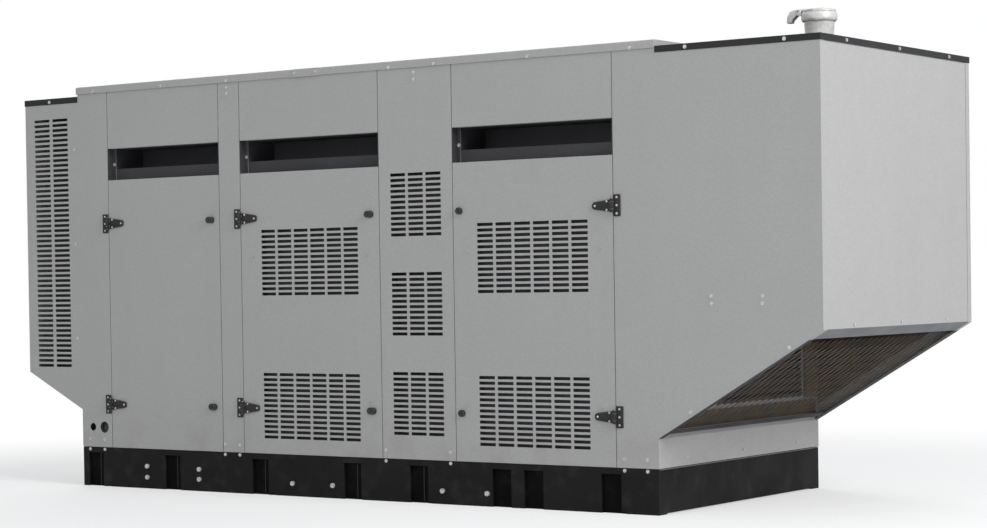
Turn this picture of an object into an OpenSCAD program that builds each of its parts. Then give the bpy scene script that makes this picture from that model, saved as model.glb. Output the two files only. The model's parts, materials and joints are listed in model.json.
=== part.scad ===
/* [Walls and bays] */
// Width of the left end post, where fuel and conduit come in
end_post_l = 182; // [160:2:240]
// Width of the control bay
bay_1 = 658; // [620:2:800]
// Width of the post between the control bay and the first engine bay
mid_post = 120; // [100:2:160]
// Width of the first engine bay
bay_2 = 748; // [620:2:900]
// Width of the grille panel between the two engine bays
centre_w = 372; // [310:2:450]
// Width of the second engine bay
bay_3 = 754; // [620:2:920]
// Width of the right end post
end_post_r = 186; // [160:2:240]
// Width of the enclosure across its two door sides
body_w = 1320; // [1300:10:1600]
// Height from the floor to the top of the roof
body_h = 1800; // [1780:10:2200]
// Thickness of the wall sheet
sheet = 2; // [1.5:0.5:3]
// Open seam between neighbouring panels
seam = 3; // [2.5:0.5:5]
// Depth of the posts behind the outer face
post_depth = 34; // [34:1:45]
// Width of the door stop that each post carries behind its neighbours
stop_w = 18; // [18:1:22]

/* [Roof] */
// Thickness of the roof sheet
roof_sheet = 3; // [2.5:0.5:4]
// Height of the lip that hangs over the walls
roof_lip = 32; // [25:1:40]
// Distance that the roof stands out past the walls
roof_over = 5; // [4:0.5:8]
// Radius of the bend along the roof's edges
roof_bend = 8; // [4:0.5:8]
// Distance from the left end to the splice between the two roof sheets
splice_at = 1333; // [1200:1:1500]
// Width of the splice
splice_w = 136; // [100:2:160]
// Distance that the splice stands out past the roof's lips
splice_out = 2; // [1:0.5:4]

/* [Doors] */
// Height of the doors above the base
door_h = 1200; // [1180:5:1230]
// Depth of the door pans
door_depth = 30; // [20:1:32]
// Height of the lower row of hinges and latches above the floor
low_row = 370; // [340:5:420]
// Height of the upper row of hinges and latches above the floor
high_row = 1180; // [1150:5:1250]
// Distance from a latch to the edge of a hinge-left door
latch_inset = 50; // [44:1:60]
// Distance from a latch to the edge of a hinge-right door
latch_inset_3 = 34; // [34:1:50]

/* [Air slots] */
// Height of the air slots above the doors
slot_h = 140; // [115:5:160]
// Depth of the black ducts behind the slots
duct_depth = 210; // [150:5:240]
// Height of the weather lip at the foot of each slot
duct_lip = 50; // [30:5:60]

/* [Grilles] */
// Length of one grille slot
grille_slot = 76.2; // [60:0.1:84]
// Height of one grille slot
grille_gap = 12.7; // [9:0.1:15]
// Distance between columns of grille slots
grille_col = 88.9; // [88:0.1:100]
// Distance between rows of grille slots
grille_row = 22.2; // [20:0.1:24]
// Rows in a door grille
door_rows = 13; // [8:1:14]
// Columns in a door grille
door_cols = 6; // [3:1:6]
// Rows in a grille of the centre panel
centre_rows = 12; // [8:1:14]
// Columns in a grille of the centre panel
centre_cols = 3; // [2:1:3]
// Height of a door's lower grille above the base
door_grille_low = 206; // [200:1:260]
// Height of a door's upper grille above the base
door_grille_high = 815; // [760:1:840]
// Height of the centre panel's lower grille above the base
centre_grille_low = 228; // [200:1:260]
// Height of the centre panel's middle grille above the base
centre_grille_mid = 634.5; // [600:0.5:680]
// Height of the centre panel's upper grille above the base
centre_grille_high = 1039; // [1000:1:1060]

/* [Discharge hood] */
// Length of the discharge hood past the body
hood_len = 696; // [600:5:840]
// Drop from the roof to the top of the discharge hood
hood_drop = 25; // [20:1:40]
// Height of the hood's end panel foot above the floor
hood_end_z = 702; // [600:5:840]
// Height of the slope's foot above the base
skirt_h = 116; // [90:2:150]
// Height of the dark trim band round the hood's top
trim_h = 25; // [20:1:35]
// Width of the flanges round the sloping air outlet
outlet_flange = 30; // [20:1:40]
// Distance that the hood's sides wrap round on to its end
wrap_w = 33; // [25:1:45]

/* [Intake hood] */
// Length of the intake hood past the body
intake_len = 334; // [280:2:400]
// Drop from the foot of the roof's lip to the top of the intake hood
intake_drop = 9; // [4:1:30]
// Height of the intake hood's end panel foot above the floor
intake_end_z = 511; // [420:5:600]
// Height of the intake slope's foot above the floor
intake_foot_z = 343; // [300:5:400]
// Distance between the rows of louvre slots in the intake hood
louvre_row = 22.8; // [21:0.1:24]
// Rows of louvre slots
louvre_rows = 50; // [30:1:50]
// Length of a louvre slot
louvre_slot = 96; // [80:1:105]
// Distance from the body to the louvre slots
louvre_in = 66; // [50:1:70]

/* [Base] */
// Height of the steel base
base_h = 175; // [150:5:200]
// Thickness of the base steel
rail_t = 6; // [4:1:8]
// Width of the base rails' flanges
rail_flange = 60; // [50:5:70]
// Width of the pressed flutes in the base rails
flute_w = 90; // [70:5:110]
// Depth of the pressed flutes
flute_d = 14; // [8:1:20]
// Radius of the anchor bolt holes
anchor_r = 9; // [7:0.5:11]
// Distance between the outer anchor holes along the base
anchor_len = 2704; // [2700:2:2720]
// Distance between the inner anchor holes along the base
anchor_inner = 823; // [815:1:830]
// Offset of the inner anchor holes towards the discharge end
anchor_shift = 20.5; // [18:0.5:24]
// Distance from the outer face of a rail to its anchor holes
anchor_edge = 36; // [34:1:45]

/* [Exhaust] */
// Outer radius of the exhaust stack
stack_r = 51; // [44:1:57]
// Distance from the body's end to the stack
stack_x = 362; // [320:2:420]
// Height of the stack's mouth above the roof
stack_rise = 128; // [100:2:180]
// Radius of the silencer
silencer_r = 130; // [100:5:150]
// Length of the silencer
silencer_len = 960; // [920:10:1100]

/* [Engine and generator] */
// Height of the crankshaft above the base
shaft_h = 465; // [440:5:500]
// Length of the engine block
block_len = 760; // [640:10:820]
// Radius of the generator's housing
gen_r = 270; // [230:5:280]
// Length of the generator's housing
gen_len = 760; // [620:10:860]
// Radius of the cooling fan
fan_r = 440; // [360:5:460]
// Radius of the crankshaft's journals
journal_r = 45; // [38:1:50]
// Radius of the main exhaust pipes
pipe_r = 38; // [30:1:44]

/* [Fuel and conduit] */
// Distance from the left end to the conduit entry
conduit_in = 63; // [50:1:70]
// Distance from the left end to the fuel entry
fuel_in = 133; // [120:1:140]
// Height of the two entries above the base
entry_up = 91; // [80:1:110]
// Radius of the fuel entry hole
fuel_hole_r = 25.5; // [20:0.5:30]
// Radius of the conduit entry hole
conduit_hole_r = 17.5; // [14:0.5:22]
// Radius of the gas pipe
gas_r = 17; // [12:1:20]

/* [Fits] */
// Radial clearance of pins, spindles and shafts in their bores
run_fit = 0.05; // [0.02:0.01:0.1]
// Air left between parts that move past each other
air = 0.3; // [0.3:0.05:0.5]

/* [Hidden] */
$fn = 48;

paint = [0.60, 0.60, 0.59];
black = [0.10, 0.10, 0.11];
dark = [0.24, 0.24, 0.25];
zinc = [0.78, 0.78, 0.76];
iron = [0.30, 0.33, 0.36];
rubber = [0.06, 0.06, 0.06];

// Seams along the walls, from left to right
body_len = end_post_l + bay_1 + mid_post + bay_2 + centre_w + bay_3 + end_post_r;
x_left = -body_len / 2;
x_door_1 = x_left + end_post_l;
x_post = x_door_1 + bay_1;
x_door_2 = x_post + mid_post;
x_centre = x_door_2 + bay_2;
x_door_3 = x_centre + centre_w;
x_end_post = x_door_3 + bay_3;
x_right = x_end_post + end_post_r;

half_w = body_w / 2;
half_seam = seam / 2;
inner_w = half_w - sheet;
wall_foot = base_h + half_seam;
wall_top = body_h - roof_sheet;
slot_z = base_h + door_h;
header_z = slot_z + slot_h;
hood_top = body_h - hood_drop;
intake_top = body_h - roof_lip - intake_drop;
slope_foot = base_h + skirt_h;
rows_z = [low_row, high_row];

// The banks of the V engine, measured from the shaft line
deck_in = [190, 330];
deck_out = [330, 190];
deck_mid = (deck_in + deck_out) / 2;
head_t = 110;
cover_t = 60;
manifold_r = 36;
manifold_off = 139;
exhaust_y = deck_mid[0] + (head_t / 2 + manifold_off) / sqrt(2);
manifold_z = deck_mid[1] + (head_t / 2 - manifold_off) / sqrt(2);

// The engine room, measured from the right end wall and the shaft line
shaft_z = base_h + shaft_h;
wall_in = x_right - 2 * sheet;
radiator_d = 120;
radiator_half = 520;
radiator_z = 330;
radiator_top = 1500;
tank_h = 80;
fan_z = (radiator_z + radiator_top) / 2;
shroud_depth = 100;
shroud_x = wall_in - radiator_d - shroud_depth;
fan_clear = 16;
fan_in = 40;
fan_x = shroud_x + fan_in;
belt_w = 16;
pulley_w = 24;
fan_to_pulley = 75;
pulley_x = fan_x - fan_to_pulley;
pulley_to_block = 45;
block_x1 = pulley_x - pulley_to_block;
block_x0 = block_x1 - block_len;
bell_len = 110;
bell_x0 = block_x0 - bell_len;
gen_x1 = bell_x0;
gen_x0 = gen_x1 - gen_len;

// Draws a box between its lowest and highest corners
module box(lo, hi) {
    translate(lo) cube(hi - lo);
}

// Extrudes a (Y, Z) outline along X
module along_x(x0, x1) {
    translate([x0, 0, 0]) rotate([90, 0, 90]) linear_extrude(x1 - x0) children();
}

// Extrudes an (X, Z) outline along Y
module along_y(y0, y1) {
    translate([0, y1, 0]) rotate([90, 0, 0]) linear_extrude(y1 - y0) children();
}

// Puts the children, drawn on the front wall, on both walls
module both_walls() {
    children();
    mirror([0, 1, 0]) children();
}

// A round bar or hole along X
module rod_x(x0, x1, r, y = 0, z = 0) {
    translate([x0, y, z]) rotate([0, 90, 0]) cylinder(h = x1 - x0, r = r);
}

// A round bar or hole along Y
module rod_y(y0, y1, r, x = 0, z = 0) {
    translate([x, y1, z]) rotate([90, 0, 0]) cylinder(h = y1 - y0, r = r);
}

// A straight tube along Z
module tube_z(z0, z1, r, wall) {
    translate([0, 0, z0]) difference() {
        cylinder(h = z1 - z0, r = r);
        translate([0, 0, -1]) cylinder(h = z1 - z0 + 2, r = r - wall);
    }
}

// ---- Base -------------------------------------------------------------------------------

// Centres of the pressed flutes: four are set from the left end, four from the right end
flutes_l = [79, 544, 1048, 1548];
flutes_r = [1129, 721, 569, 211];
flutes = concat([for (d = flutes_l) x_left + d], [for (d = flutes_r) x_right - d]);
rail_in = half_w - rail_t;
flute_drop = 24;
flute_top = base_h - flute_drop;
notch_w = 24;
notch_h = 8;
anchors = [
    -anchor_len / 2, anchor_shift - anchor_inner / 2, anchor_shift + anchor_inner / 2, anchor_len / 2
];

// Bolts through the rails: distance from the left end, or from the right end, and height
base_bolts_l = [[393, 99], [393, 50], [700, 96], [700, 52], [1227, 54], [1444, 54]];
base_bolts_r = [[1010, 54], [790, 52]];
base_bolt_pts = concat(
    [for (b = base_bolts_l) [x_left + b[0], b[1]]],
    [for (b = base_bolts_r) [x_right - b[0], b[1]]]
);
bolt_r = 6;
bolt_head_r = 10;
bolt_head_h = 8;

module rail_web_outline() {
    difference() {
        translate([x_left, -half_w]) square([body_len, rail_t]);
        for (x = flutes) {
            translate([x - flute_w / 2, -half_w - 1]) square([flute_w, rail_t + 2]);
        }
    }
    for (x = flutes) {
        difference() {
            translate([x - flute_w / 2 - rail_t, -half_w]) square([flute_w + 2 * rail_t, flute_d + rail_t]);
            translate([x - flute_w / 2, -half_w - 1]) square([flute_w, flute_d + 1]);
        }
    }
}

module base_rail() {
    difference() {
        union() {
            linear_extrude(flute_top) rail_web_outline();
            linear_extrude(rail_t) difference() {
                translate([x_left, -half_w]) square([body_len, rail_flange]);
                for (x = flutes) translate([x - flute_w / 2, -half_w - 1]) square([flute_w, flute_d + 1]);
            }
            box([x_left, -half_w, flute_top], [x_right, -rail_in, base_h]);
            box([x_left, -half_w, base_h - rail_t], [x_right, -half_w + rail_flange, base_h]);
            for (x = flutes) {
                box([x - flute_w / 2 - rail_t, -half_w, flute_top],
                    [x + flute_w / 2 + rail_t, -half_w + flute_d + rail_t, flute_top + rail_t]);
            }
        }
        for (x = anchors) {
            translate([x, -half_w + anchor_edge, -1]) cylinder(h = rail_t + 2, r = anchor_r);
            box([x - notch_w / 2, -half_w - 1, -1], [x + notch_w / 2, -half_w + rail_t + 1, notch_h]);
        }
        for (p = base_bolt_pts) {
            rod_y(-half_w - 1, -half_w + rail_t + 1, bolt_r + run_fit, p[0], p[1]);
        }
    }
}

module base_rails() {
    color(black) both_walls() base_rail();
}

module base_end_plates() {
    plate_gap = 4;
    color(black) for (side = [-1, 1]) {
        x_out = side * body_len / 2;
        x_in = x_out - side * rail_t;
        box([min(x_out, x_in), -rail_in, rail_t], [max(x_out, x_in), rail_in, base_h - rail_t - plate_gap]);
    }
}

module base_crossmember(x) {
    member_w = 80;
    member_wall = 6;
    member_end = half_w - flute_d - rail_t;
    translate([x, 0, 0]) along_y(-member_end, member_end) difference() {
        translate([-member_w / 2, rail_t]) square([member_w, base_h - 2 * rail_t]);
        translate([-member_w / 2 + member_wall, rail_t + member_wall])
            square([member_w, base_h - 2 * rail_t - 2 * member_wall]);
    }
}

module base_crossmembers() {
    color(black) for (x = flutes) base_crossmember(x);
}

// Two rails under the engine and the generator
skid_y = 290;
skid_w = 70;
skid_h = 60;
skid_z = base_h - rail_t;
isolator_r = 34;
isolator_h = 55;
feet_z = skid_z + skid_h + isolator_h;

module skid_rails() {
    wall = 5;
    x0 = gen_x0 - 60;
    x1 = block_x1 + 40;
    color(black) both_walls() translate([0, -skid_y, 0]) along_x(x0, x1) difference() {
        translate([-skid_w / 2, skid_z]) square([skid_w, skid_h]);
        translate([-skid_w / 2 + wall, skid_z + wall]) square([skid_w - 2 * wall, skid_h - 2 * wall]);
    }
}

// ---- Walls ------------------------------------------------------------------------------

// Plan outline of a post, from its left seam: a face, a return beside each open bay and a
// stop behind the neighbouring door
module post_outline(w, left_stop, right_stop, left_end = false, right_end = false) {
    x0 = left_stop ? half_seam : 0;
    x1 = right_stop ? w - half_seam : w;
    end_return = 50;
    translate([x0, 0]) square([x1 - x0, sheet]);
    if (left_stop) {
        translate([x0, 0]) square([sheet, post_depth + sheet]);
        translate([-stop_w, post_depth]) square([stop_w + x0 + sheet, sheet]);
    }
    if (right_stop) {
        translate([x1 - sheet, 0]) square([sheet, post_depth + sheet]);
        translate([x1 - sheet, post_depth]) square([w - x1 + sheet + stop_w, sheet]);
    }
    if (left_end) {
        square([sheet, end_return]);
    }
    if (right_end) {
        translate([w - sheet, 0]) square([sheet, end_return]);
    }
}

module wall_post(x, w, z0 = wall_foot) {
    translate([x, -half_w, z0]) linear_extrude(wall_top - z0) children();
}

conduit_x = x_left + conduit_in;
fuel_x = x_left + fuel_in;
entry_z = base_h + entry_up;

module corner_posts() {
    color(paint) {
        difference() {
            wall_post(x_left, end_post_l) post_outline(end_post_l, false, true, left_end = true);
            rod_y(-half_w - 1, -half_w + sheet + 1, fuel_hole_r, fuel_x, entry_z);
            rod_y(-half_w - 1, -half_w + sheet + 1, conduit_hole_r, conduit_x, entry_z);
        }
        wall_post(x_end_post, end_post_r) post_outline(end_post_r, true, false, right_end = true);
        mirror([0, 1, 0]) {
            wall_post(x_left, end_post_l) post_outline(end_post_l, false, true, left_end = true);
            wall_post(x_end_post, end_post_r) post_outline(end_post_r, true, false, right_end = true);
        }
    }
}

module mid_posts() {
    color(paint) both_walls() wall_post(x_post, mid_post) post_outline(mid_post, true, true);
}

// Slots of a grille, centred on the origin of the wall's (X, Z) plane
module grille_slots(cols, rows, pitch_x = grille_col, pitch_z = grille_row, len = grille_slot) {
    for (i = [0 : cols - 1]) for (j = [0 : rows - 1]) {
        translate([(i - (cols - 1) / 2) * pitch_x - len / 2, (j - (rows - 1) / 2) * pitch_z - grille_gap / 2])
            square([len, grille_gap]);
    }
}

door_grilles_z = [base_h + door_grille_low, base_h + door_grille_high];
centre_grilles_z = [base_h + centre_grille_low, base_h + centre_grille_mid, base_h + centre_grille_high];

module centre_panel() {
    difference() {
        wall_post(x_centre, centre_w) post_outline(centre_w, true, true);
        along_y(-half_w - 1, -half_w + sheet + 1) for (z = centre_grilles_z) {
            translate([x_centre + centre_w / 2, z]) grille_slots(centre_cols, centre_rows);
        }
    }
}

module fixed_panels() {
    color(paint) {
        both_walls() centre_panel();
        mirror([0, 1, 0]) wall_pan(x_door_1, bay_1, wall_foot, wall_top, post_depth);
    }
}

// A pan across a bay: a face with a return on each side and at its foot and head
module wall_pan(x, w, z0, z1, depth, grilles = []) {
    translate([x, -half_w, 0]) difference() {
        box([half_seam, 0, z0], [w - half_seam, depth, z1]);
        box([half_seam + sheet, sheet, z0 + sheet], [w - half_seam - sheet, depth + 1, z1 - sheet]);
        along_y(-1, sheet + 1) for (z = grilles) {
            translate([w / 2, z]) grille_slots(door_cols, door_rows);
        }
    }
}

module header_panels() {
    color(paint) {
        both_walls() for (bay = [[x_door_2, bay_2], [x_door_3, bay_3]]) {
            wall_pan(bay[0], bay[1], header_z, wall_top, post_depth);
        }
        wall_pan(x_door_1, bay_1, header_z, wall_top, post_depth);
    }
}

// Black angle that lines the side of a slot, in front of the post's stop
module slot_jamb() {
    x0 = half_seam;
    box([x0, 0, slot_z], [x0 + sheet, post_depth, header_z - half_seam]);
    box([x0, post_depth - sheet, slot_z], [stop_w, post_depth, header_z - half_seam]);
}

// Black duct behind a slot: a head, a back, two cheeks and a weather lip, open at the foot
module slot_duct(x, w) {
    duct_foot = 60;
    back_foot = slot_z + duct_foot;
    cheek_y0 = post_depth + sheet;
    x0 = x + stop_w;
    x1 = x + w - stop_w;
    box([x0, -half_w + post_depth + sheet, header_z - sheet], [x1, -half_w + duct_depth, header_z]);
    box([x0, -half_w + duct_depth - sheet, back_foot], [x1, -half_w + duct_depth, header_z]);
    for (xc = [x0, x1 - sheet]) {
        box([xc, -half_w + cheek_y0, slot_z], [xc + sheet, -half_w + duct_depth, header_z]);
    }
    box([x0, -half_w + cheek_y0, slot_z], [x1, -half_w + cheek_y0 + sheet, slot_z + duct_lip]);
    translate([x, -half_w, 0]) slot_jamb();
    translate([x + w, -half_w, 0]) mirror([1, 0, 0]) slot_jamb();
}

module slot_ducts() {
    color(black) {
        both_walls() for (bay = [[x_door_2, bay_2], [x_door_3, bay_3]]) slot_duct(bay[0], bay[1]);
        slot_duct(x_door_1, bay_1);
    }
}

// Rubber strips on the posts' stops, which the closed doors press
seal_t = post_depth - door_depth - air;
seal_w = 12;
bays_with_doors = [[x_door_1, bay_1], [x_door_2, bay_2], [x_door_3, bay_3]];

module seal_pair(x, w) {
    y0 = -half_w + post_depth - seal_t;
    y1 = -half_w + post_depth;
    for (xs = [x + stop_w - seal_w, x + w - stop_w]) {
        box([xs, y0, wall_foot], [xs + seal_w, y1, slot_z - half_seam]);
    }
}

module door_seals() {
    color(rubber) {
        for (bay = bays_with_doors) seal_pair(bay[0], bay[1]);
        mirror([0, 1, 0]) {
            seal_pair(x_door_2, bay_2);
            seal_pair(x_door_3, bay_3);
        }
    }
}

// ---- Roof and end walls -----------------------------------------------------------------

// The roof is two sheets with a splice between them
x_splice = x_left + splice_at;
splice_x0 = x_splice - splice_w / 2;
splice_x1 = x_splice + splice_w / 2;
roof_w = half_w + roof_over;
hood_lip = hood_drop - 1;

// Section across the roof: flat on top, with a bend of radius r on to each side
module roof_section(w, z0, r) {
    translate([-w, z0]) square([2 * w, body_h - r - z0]);
    translate([r - w, z0]) square([2 * (w - r), body_h - z0]);
    for (side = [-1, 1]) translate([side * (w - r), body_h - r]) circle(r = r);
}

module roof_sheet_run(x0, x1, w, lip, r) {
    along_x(x0, x1) difference() {
        roof_section(w, body_h - lip, r);
        translate([roof_sheet - w, body_h - lip - 1]) square([2 * (w - roof_sheet), lip + 1 - roof_sheet]);
    }
}

module roof_panels() {
    splice_bend = 4;
    x0 = x_left - roof_over;
    x1 = x_right + roof_over;
    color(paint) {
        roof_sheet_run(x0, splice_x0, roof_w, roof_lip, roof_bend);
        along_x(x0, x0 + roof_sheet) roof_section(roof_w, body_h - roof_lip, roof_bend);
        roof_sheet_run(splice_x0, splice_x1, roof_w + splice_out, roof_lip + splice_out, splice_bend);
        roof_sheet_run(splice_x1, x1, roof_w, roof_lip, roof_bend);
        along_x(x1 - roof_sheet, x1) roof_section(roof_w, body_h - hood_lip, roof_bend);
    }
}

// The exhaust pipes pass through the right end wall above the radiator
exhaust_up = 100;
exhaust_z = radiator_top + exhaust_up;

module end_wall(x0, x1, y_open, z0_open, z1_open) {
    difference() {
        box([x0, -inner_w, wall_foot], [x1, inner_w, wall_top]);
        box([x0 - 1, -y_open, z0_open], [x1 + 1, y_open, z1_open]);
    }
}

module end_walls() {
    intake_half = 500;
    intake_sill = 60;
    intake_head = 120;
    pipe_gap = 6;
    skirt_gap = 2;
    color(paint) {
        end_wall(x_left + sheet, x_left + 2 * sheet, intake_half,
            intake_foot_z + intake_sill, intake_top - intake_head);
        difference() {
            end_wall(wall_in, wall_in + sheet, radiator_half, radiator_z + tank_h, radiator_top - tank_h);
            for (y = [-exhaust_y, exhaust_y]) {
                rod_x(wall_in - 1, wall_in + sheet + 1, pipe_r + pipe_gap, y, exhaust_z);
            }
        }
        box([x_right, -half_w, base_h + skirt_gap], [x_right + sheet, half_w, slope_foot]);
        box([x_left - sheet, -half_w, base_h + skirt_gap], [x_left, half_w, intake_foot_z]);
    }
}

// ---- Discharge hood ---------------------------------------------------------------------

x_hood = x_right + hood_len;
outlet_rise = hood_end_z - slope_foot;
outlet_angle = atan2(outlet_rise, hood_len);
outlet_len = norm([hood_len, outlet_rise]);
hood_side_top = hood_top - sheet;
flange_rise = sheet / cos(outlet_angle);

// Lays the children along the sloping air outlet: X runs up the slope from its foot
module on_outlet() {
    translate([x_right, 0, slope_foot]) rotate([0, -outlet_angle, 0]) children();
}

module hood_side() {
    along_y(-half_w, -half_w + sheet) polygon([
        [x_right, slope_foot], [x_hood, hood_end_z], [x_hood, hood_side_top], [x_right, hood_side_top]
    ]);
    box([x_hood - sheet, -half_w, hood_end_z], [x_hood, -half_w + wrap_w, hood_side_top]);
    along_y(-half_w, -half_w + outlet_flange) polygon([
        [x_right, slope_foot], [x_hood, hood_end_z],
        [x_hood, hood_end_z + flange_rise], [x_right, slope_foot + flange_rise]
    ]);
    box([x_right, -half_w, slope_foot + sheet], [x_right + sheet, -half_w + outlet_flange, hood_side_top]);
}

module discharge_hood_sides() {
    color(paint) both_walls() hood_side();
}

module discharge_hood_end() {
    foot = 40;
    foot_half = half_w - outlet_flange - sheet;
    x_back = x_hood - 2 * sheet;
    color(paint) {
        box([x_back, -inner_w, hood_end_z + flange_rise + air], [x_back + sheet, inner_w, hood_side_top]);
        box([x_back - foot, -foot_half, hood_end_z + sheet], [x_back + sheet, foot_half, hood_end_z + 2 * sheet]);
    }
}

stack_gap = 4;
x_stack = x_right + stack_x;

module discharge_hood_cap() {
    roof_gap = 1;
    x0 = x_right + roof_over + roof_gap;
    color(dark) difference() {
        union() {
            box([x0, -half_w - sheet, hood_side_top], [x_hood + sheet, half_w + sheet, hood_top]);
            difference() {
                box([x0, -half_w - sheet, hood_top - trim_h], [x_hood + sheet, half_w + sheet, hood_top]);
                box([x0 - 1, -half_w, hood_top - trim_h - 1], [x_hood, half_w, hood_top + 1]);
            }
        }
        translate([x_stack, 0, hood_top - trim_h]) cylinder(h = 2 * trim_h, r = stack_r + stack_gap);
    }
}

// Sloping screen: a frame with rows of openings, lying on the flanges of the hood's sides
module discharge_screen() {
    frame_w = 30;
    screen_t = 3;
    end_gap = 26;
    side_gap = 2;
    run = outlet_len - 2 * end_gap;
    half_y = inner_w - side_gap;
    cell = 42;
    bar = 6;
    cols = floor((run - 2 * frame_w + bar) / (cell + bar));
    rows = floor((2 * (half_y - frame_w) + bar) / (4 * cell + bar));
    x0 = end_gap + (run - cols * (cell + bar) + bar) / 2;
    y0 = -(rows * (4 * cell + bar) - bar) / 2;
    color([0.30, 0.27, 0.24]) on_outlet() translate([0, 0, sheet + air]) linear_extrude(screen_t) difference() {
        translate([end_gap, -half_y]) square([run, 2 * half_y]);
        for (i = [0 : cols - 1]) for (j = [0 : rows - 1]) {
            translate([x0 + i * (cell + bar), y0 + j * (4 * cell + bar)]) square([cell, 4 * cell]);
        }
    }
}

// ---- Intake hood ------------------------------------------------------------------------

x_intake = x_left - intake_len;
intake_side_top = intake_top - sheet;
louvre_cols = 2;
louvre_web = 18;
louvre_pitch = louvre_slot + louvre_web;
louvre_drop = 34;

module intake_side_outline() {
    polygon([
        [x_left, intake_foot_z], [x_left, intake_side_top],
        [x_intake, intake_side_top], [x_intake, intake_end_z]
    ]);
}

module intake_side() {
    louvre_x = x_left - louvre_in - (louvre_slot + louvre_pitch) / 2;
    louvre_z = (intake_side_top + intake_end_z) / 2 - louvre_drop;
    difference() {
        along_y(-half_w, -half_w + sheet) intake_side_outline();
        along_y(-half_w - 1, -half_w + sheet + 1) translate([louvre_x, louvre_z])
            grille_slots(louvre_cols, louvre_rows, louvre_pitch, louvre_row, louvre_slot);
    }
}

// The hood's two louvred sides, its blank end and its sloping pan with a rain gap at the foot
module intake_hood_shell() {
    pan_gap = 3;
    color(paint) {
        both_walls() intake_side();
        box([x_intake, -inner_w, intake_end_z], [x_intake + sheet, inner_w, intake_side_top]);
        along_y(-inner_w, inner_w) polygon([
            [x_left - sheet, intake_foot_z], [x_left - sheet, intake_foot_z + sheet],
            [x_intake + sheet, intake_end_z + sheet + pan_gap], [x_intake + sheet, intake_end_z + pan_gap]
        ]);
    }
}

module intake_hood_cap() {
    cap_h = 27;
    x0 = x_intake - sheet;
    color(dark) difference() {
        box([x0, -half_w - sheet, intake_top - cap_h], [x_left, half_w + sheet, intake_top]);
        box([x_intake, -half_w, intake_top - cap_h - 1], [x_left + 1, half_w, intake_side_top]);
    }
}

// ---- Exhaust ----------------------------------------------------------------------------

silencer_drop = 20;
silencer_z = exhaust_z - silencer_drop;
stack_top = body_h + stack_rise;
tube_wall = 2;
seat_gap = 0.2;
bend_r = 70;
bend_x = block_x0 - 20;
riser_x = bend_x - bend_r;

module silencer() {
    dome_r = silencer_r - 20;
    dome_t = 12;
    shell_t = 4;
    color([0.42, 0.41, 0.40]) difference() {
        union() {
            rod_y(-silencer_len / 2, silencer_len / 2, silencer_r, x_stack, silencer_z);
            rod_y(-silencer_len / 2 - dome_t, silencer_len / 2 + dome_t, dome_r, x_stack, silencer_z);
        }
        rod_y(-silencer_len / 2 + shell_t, silencer_len / 2 - shell_t, silencer_r - shell_t, x_stack, silencer_z);
        translate([x_stack, 0, silencer_z]) cylinder(h = silencer_r + 1, r = stack_r - tube_wall);
        for (y = [-exhaust_y, exhaust_y]) {
            rod_x(x_stack - silencer_r - 1, x_stack, pipe_r - tube_wall, y, exhaust_z);
        }
    }
}

// A quarter bend in the (X, Z) plane, round the Y axis, from +X to +Z
module bend_tube(r) {
    rotate([90, 0, 0]) rotate_extrude(angle = 90) translate([bend_r, 0]) difference() {
        circle(r = r);
        circle(r = r - tube_wall);
    }
}

module exhaust_run(y) {
    low_z = shaft_z + manifold_z;
    difference() {
        rod_x(bend_x, x_stack, pipe_r, y, exhaust_z);
        rod_x(bend_x - 1, x_stack + 1, pipe_r - tube_wall, y, exhaust_z);
        rod_y(-silencer_len, silencer_len, silencer_r + seat_gap, x_stack, silencer_z);
    }
    translate([bend_x, y, exhaust_z - bend_r]) mirror([1, 0, 0]) bend_tube(pipe_r);
    translate([riser_x, y, 0]) tube_z(low_z + bend_r, exhaust_z - bend_r, pipe_r, tube_wall);
    translate([bend_x, y, low_z + bend_r]) rotate([0, 180, 0]) bend_tube(pipe_r);
}

module exhaust_pipes() {
    mouth_gap = 2;
    color([0.62, 0.61, 0.59]) {
        for (y = [-exhaust_y, exhaust_y]) exhaust_run(y);
        difference() {
            translate([x_stack, 0, 0]) tube_z(silencer_z, stack_top - mouth_gap, stack_r, tube_wall);
            rod_y(-silencer_len, silencer_len, silencer_r + seat_gap, x_stack, silencer_z);
        }
    }
}

// The rain cap: a collar clamped on the stack, and a weighted flap on a pin beside it
collar_h = 37;
collar_rim = 19;
collar_r = stack_r + collar_rim;
flap_rim = 14;
flap_r = stack_r + flap_rim;
flap_t = 3;
cap_pin_r = 4;
cap_pin_out = 14;
cap_pin_x = x_stack - collar_r - cap_pin_out;
cap_barrel_r = 8;
cap_pin_z = stack_top + cap_barrel_r;
cap_half = 14;
cap_ear_t = 5;

module stack_collar() {
    neck_r = stack_r + 8;
    rim_t = 8;
    ear_drop = 12;
    lug_half = 6;
    lug_l = 24;
    lug_h = 20;
    flap_gap = 4;
    ear_x1 = x_stack - stack_r - 4;
    ear_end = cap_half + cap_ear_t;
    color(zinc) difference() {
        union() {
            translate([x_stack, 0, stack_top - collar_h]) {
                cylinder(h = collar_h, r = neck_r);
                cylinder(h = rim_t, r = collar_r);
            }
            translate([x_stack, 0, stack_top - rim_t]) cylinder(h = rim_t, r = collar_r);
            for (y = [-ear_end, cap_half]) {
                box([cap_pin_x - cap_barrel_r, y, stack_top - ear_drop],
                    [ear_x1, y + cap_ear_t, cap_pin_z + cap_barrel_r]);
            }
            box([x_stack - lug_half, stack_r, stack_top - ear_drop - lug_h],
                [x_stack + lug_half, collar_r + lug_l, stack_top - ear_drop]);
        }
        translate([x_stack, 0, stack_top - collar_h - 1]) cylinder(h = collar_h + 2, r = stack_r + run_fit);
        rod_y(-ear_end - 1, ear_end + 1, cap_pin_r + run_fit, cap_pin_x, cap_pin_z);
        translate([x_stack, 0, stack_top]) cylinder(h = 2 * collar_h, r = flap_r + flap_gap);
    }
}

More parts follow.
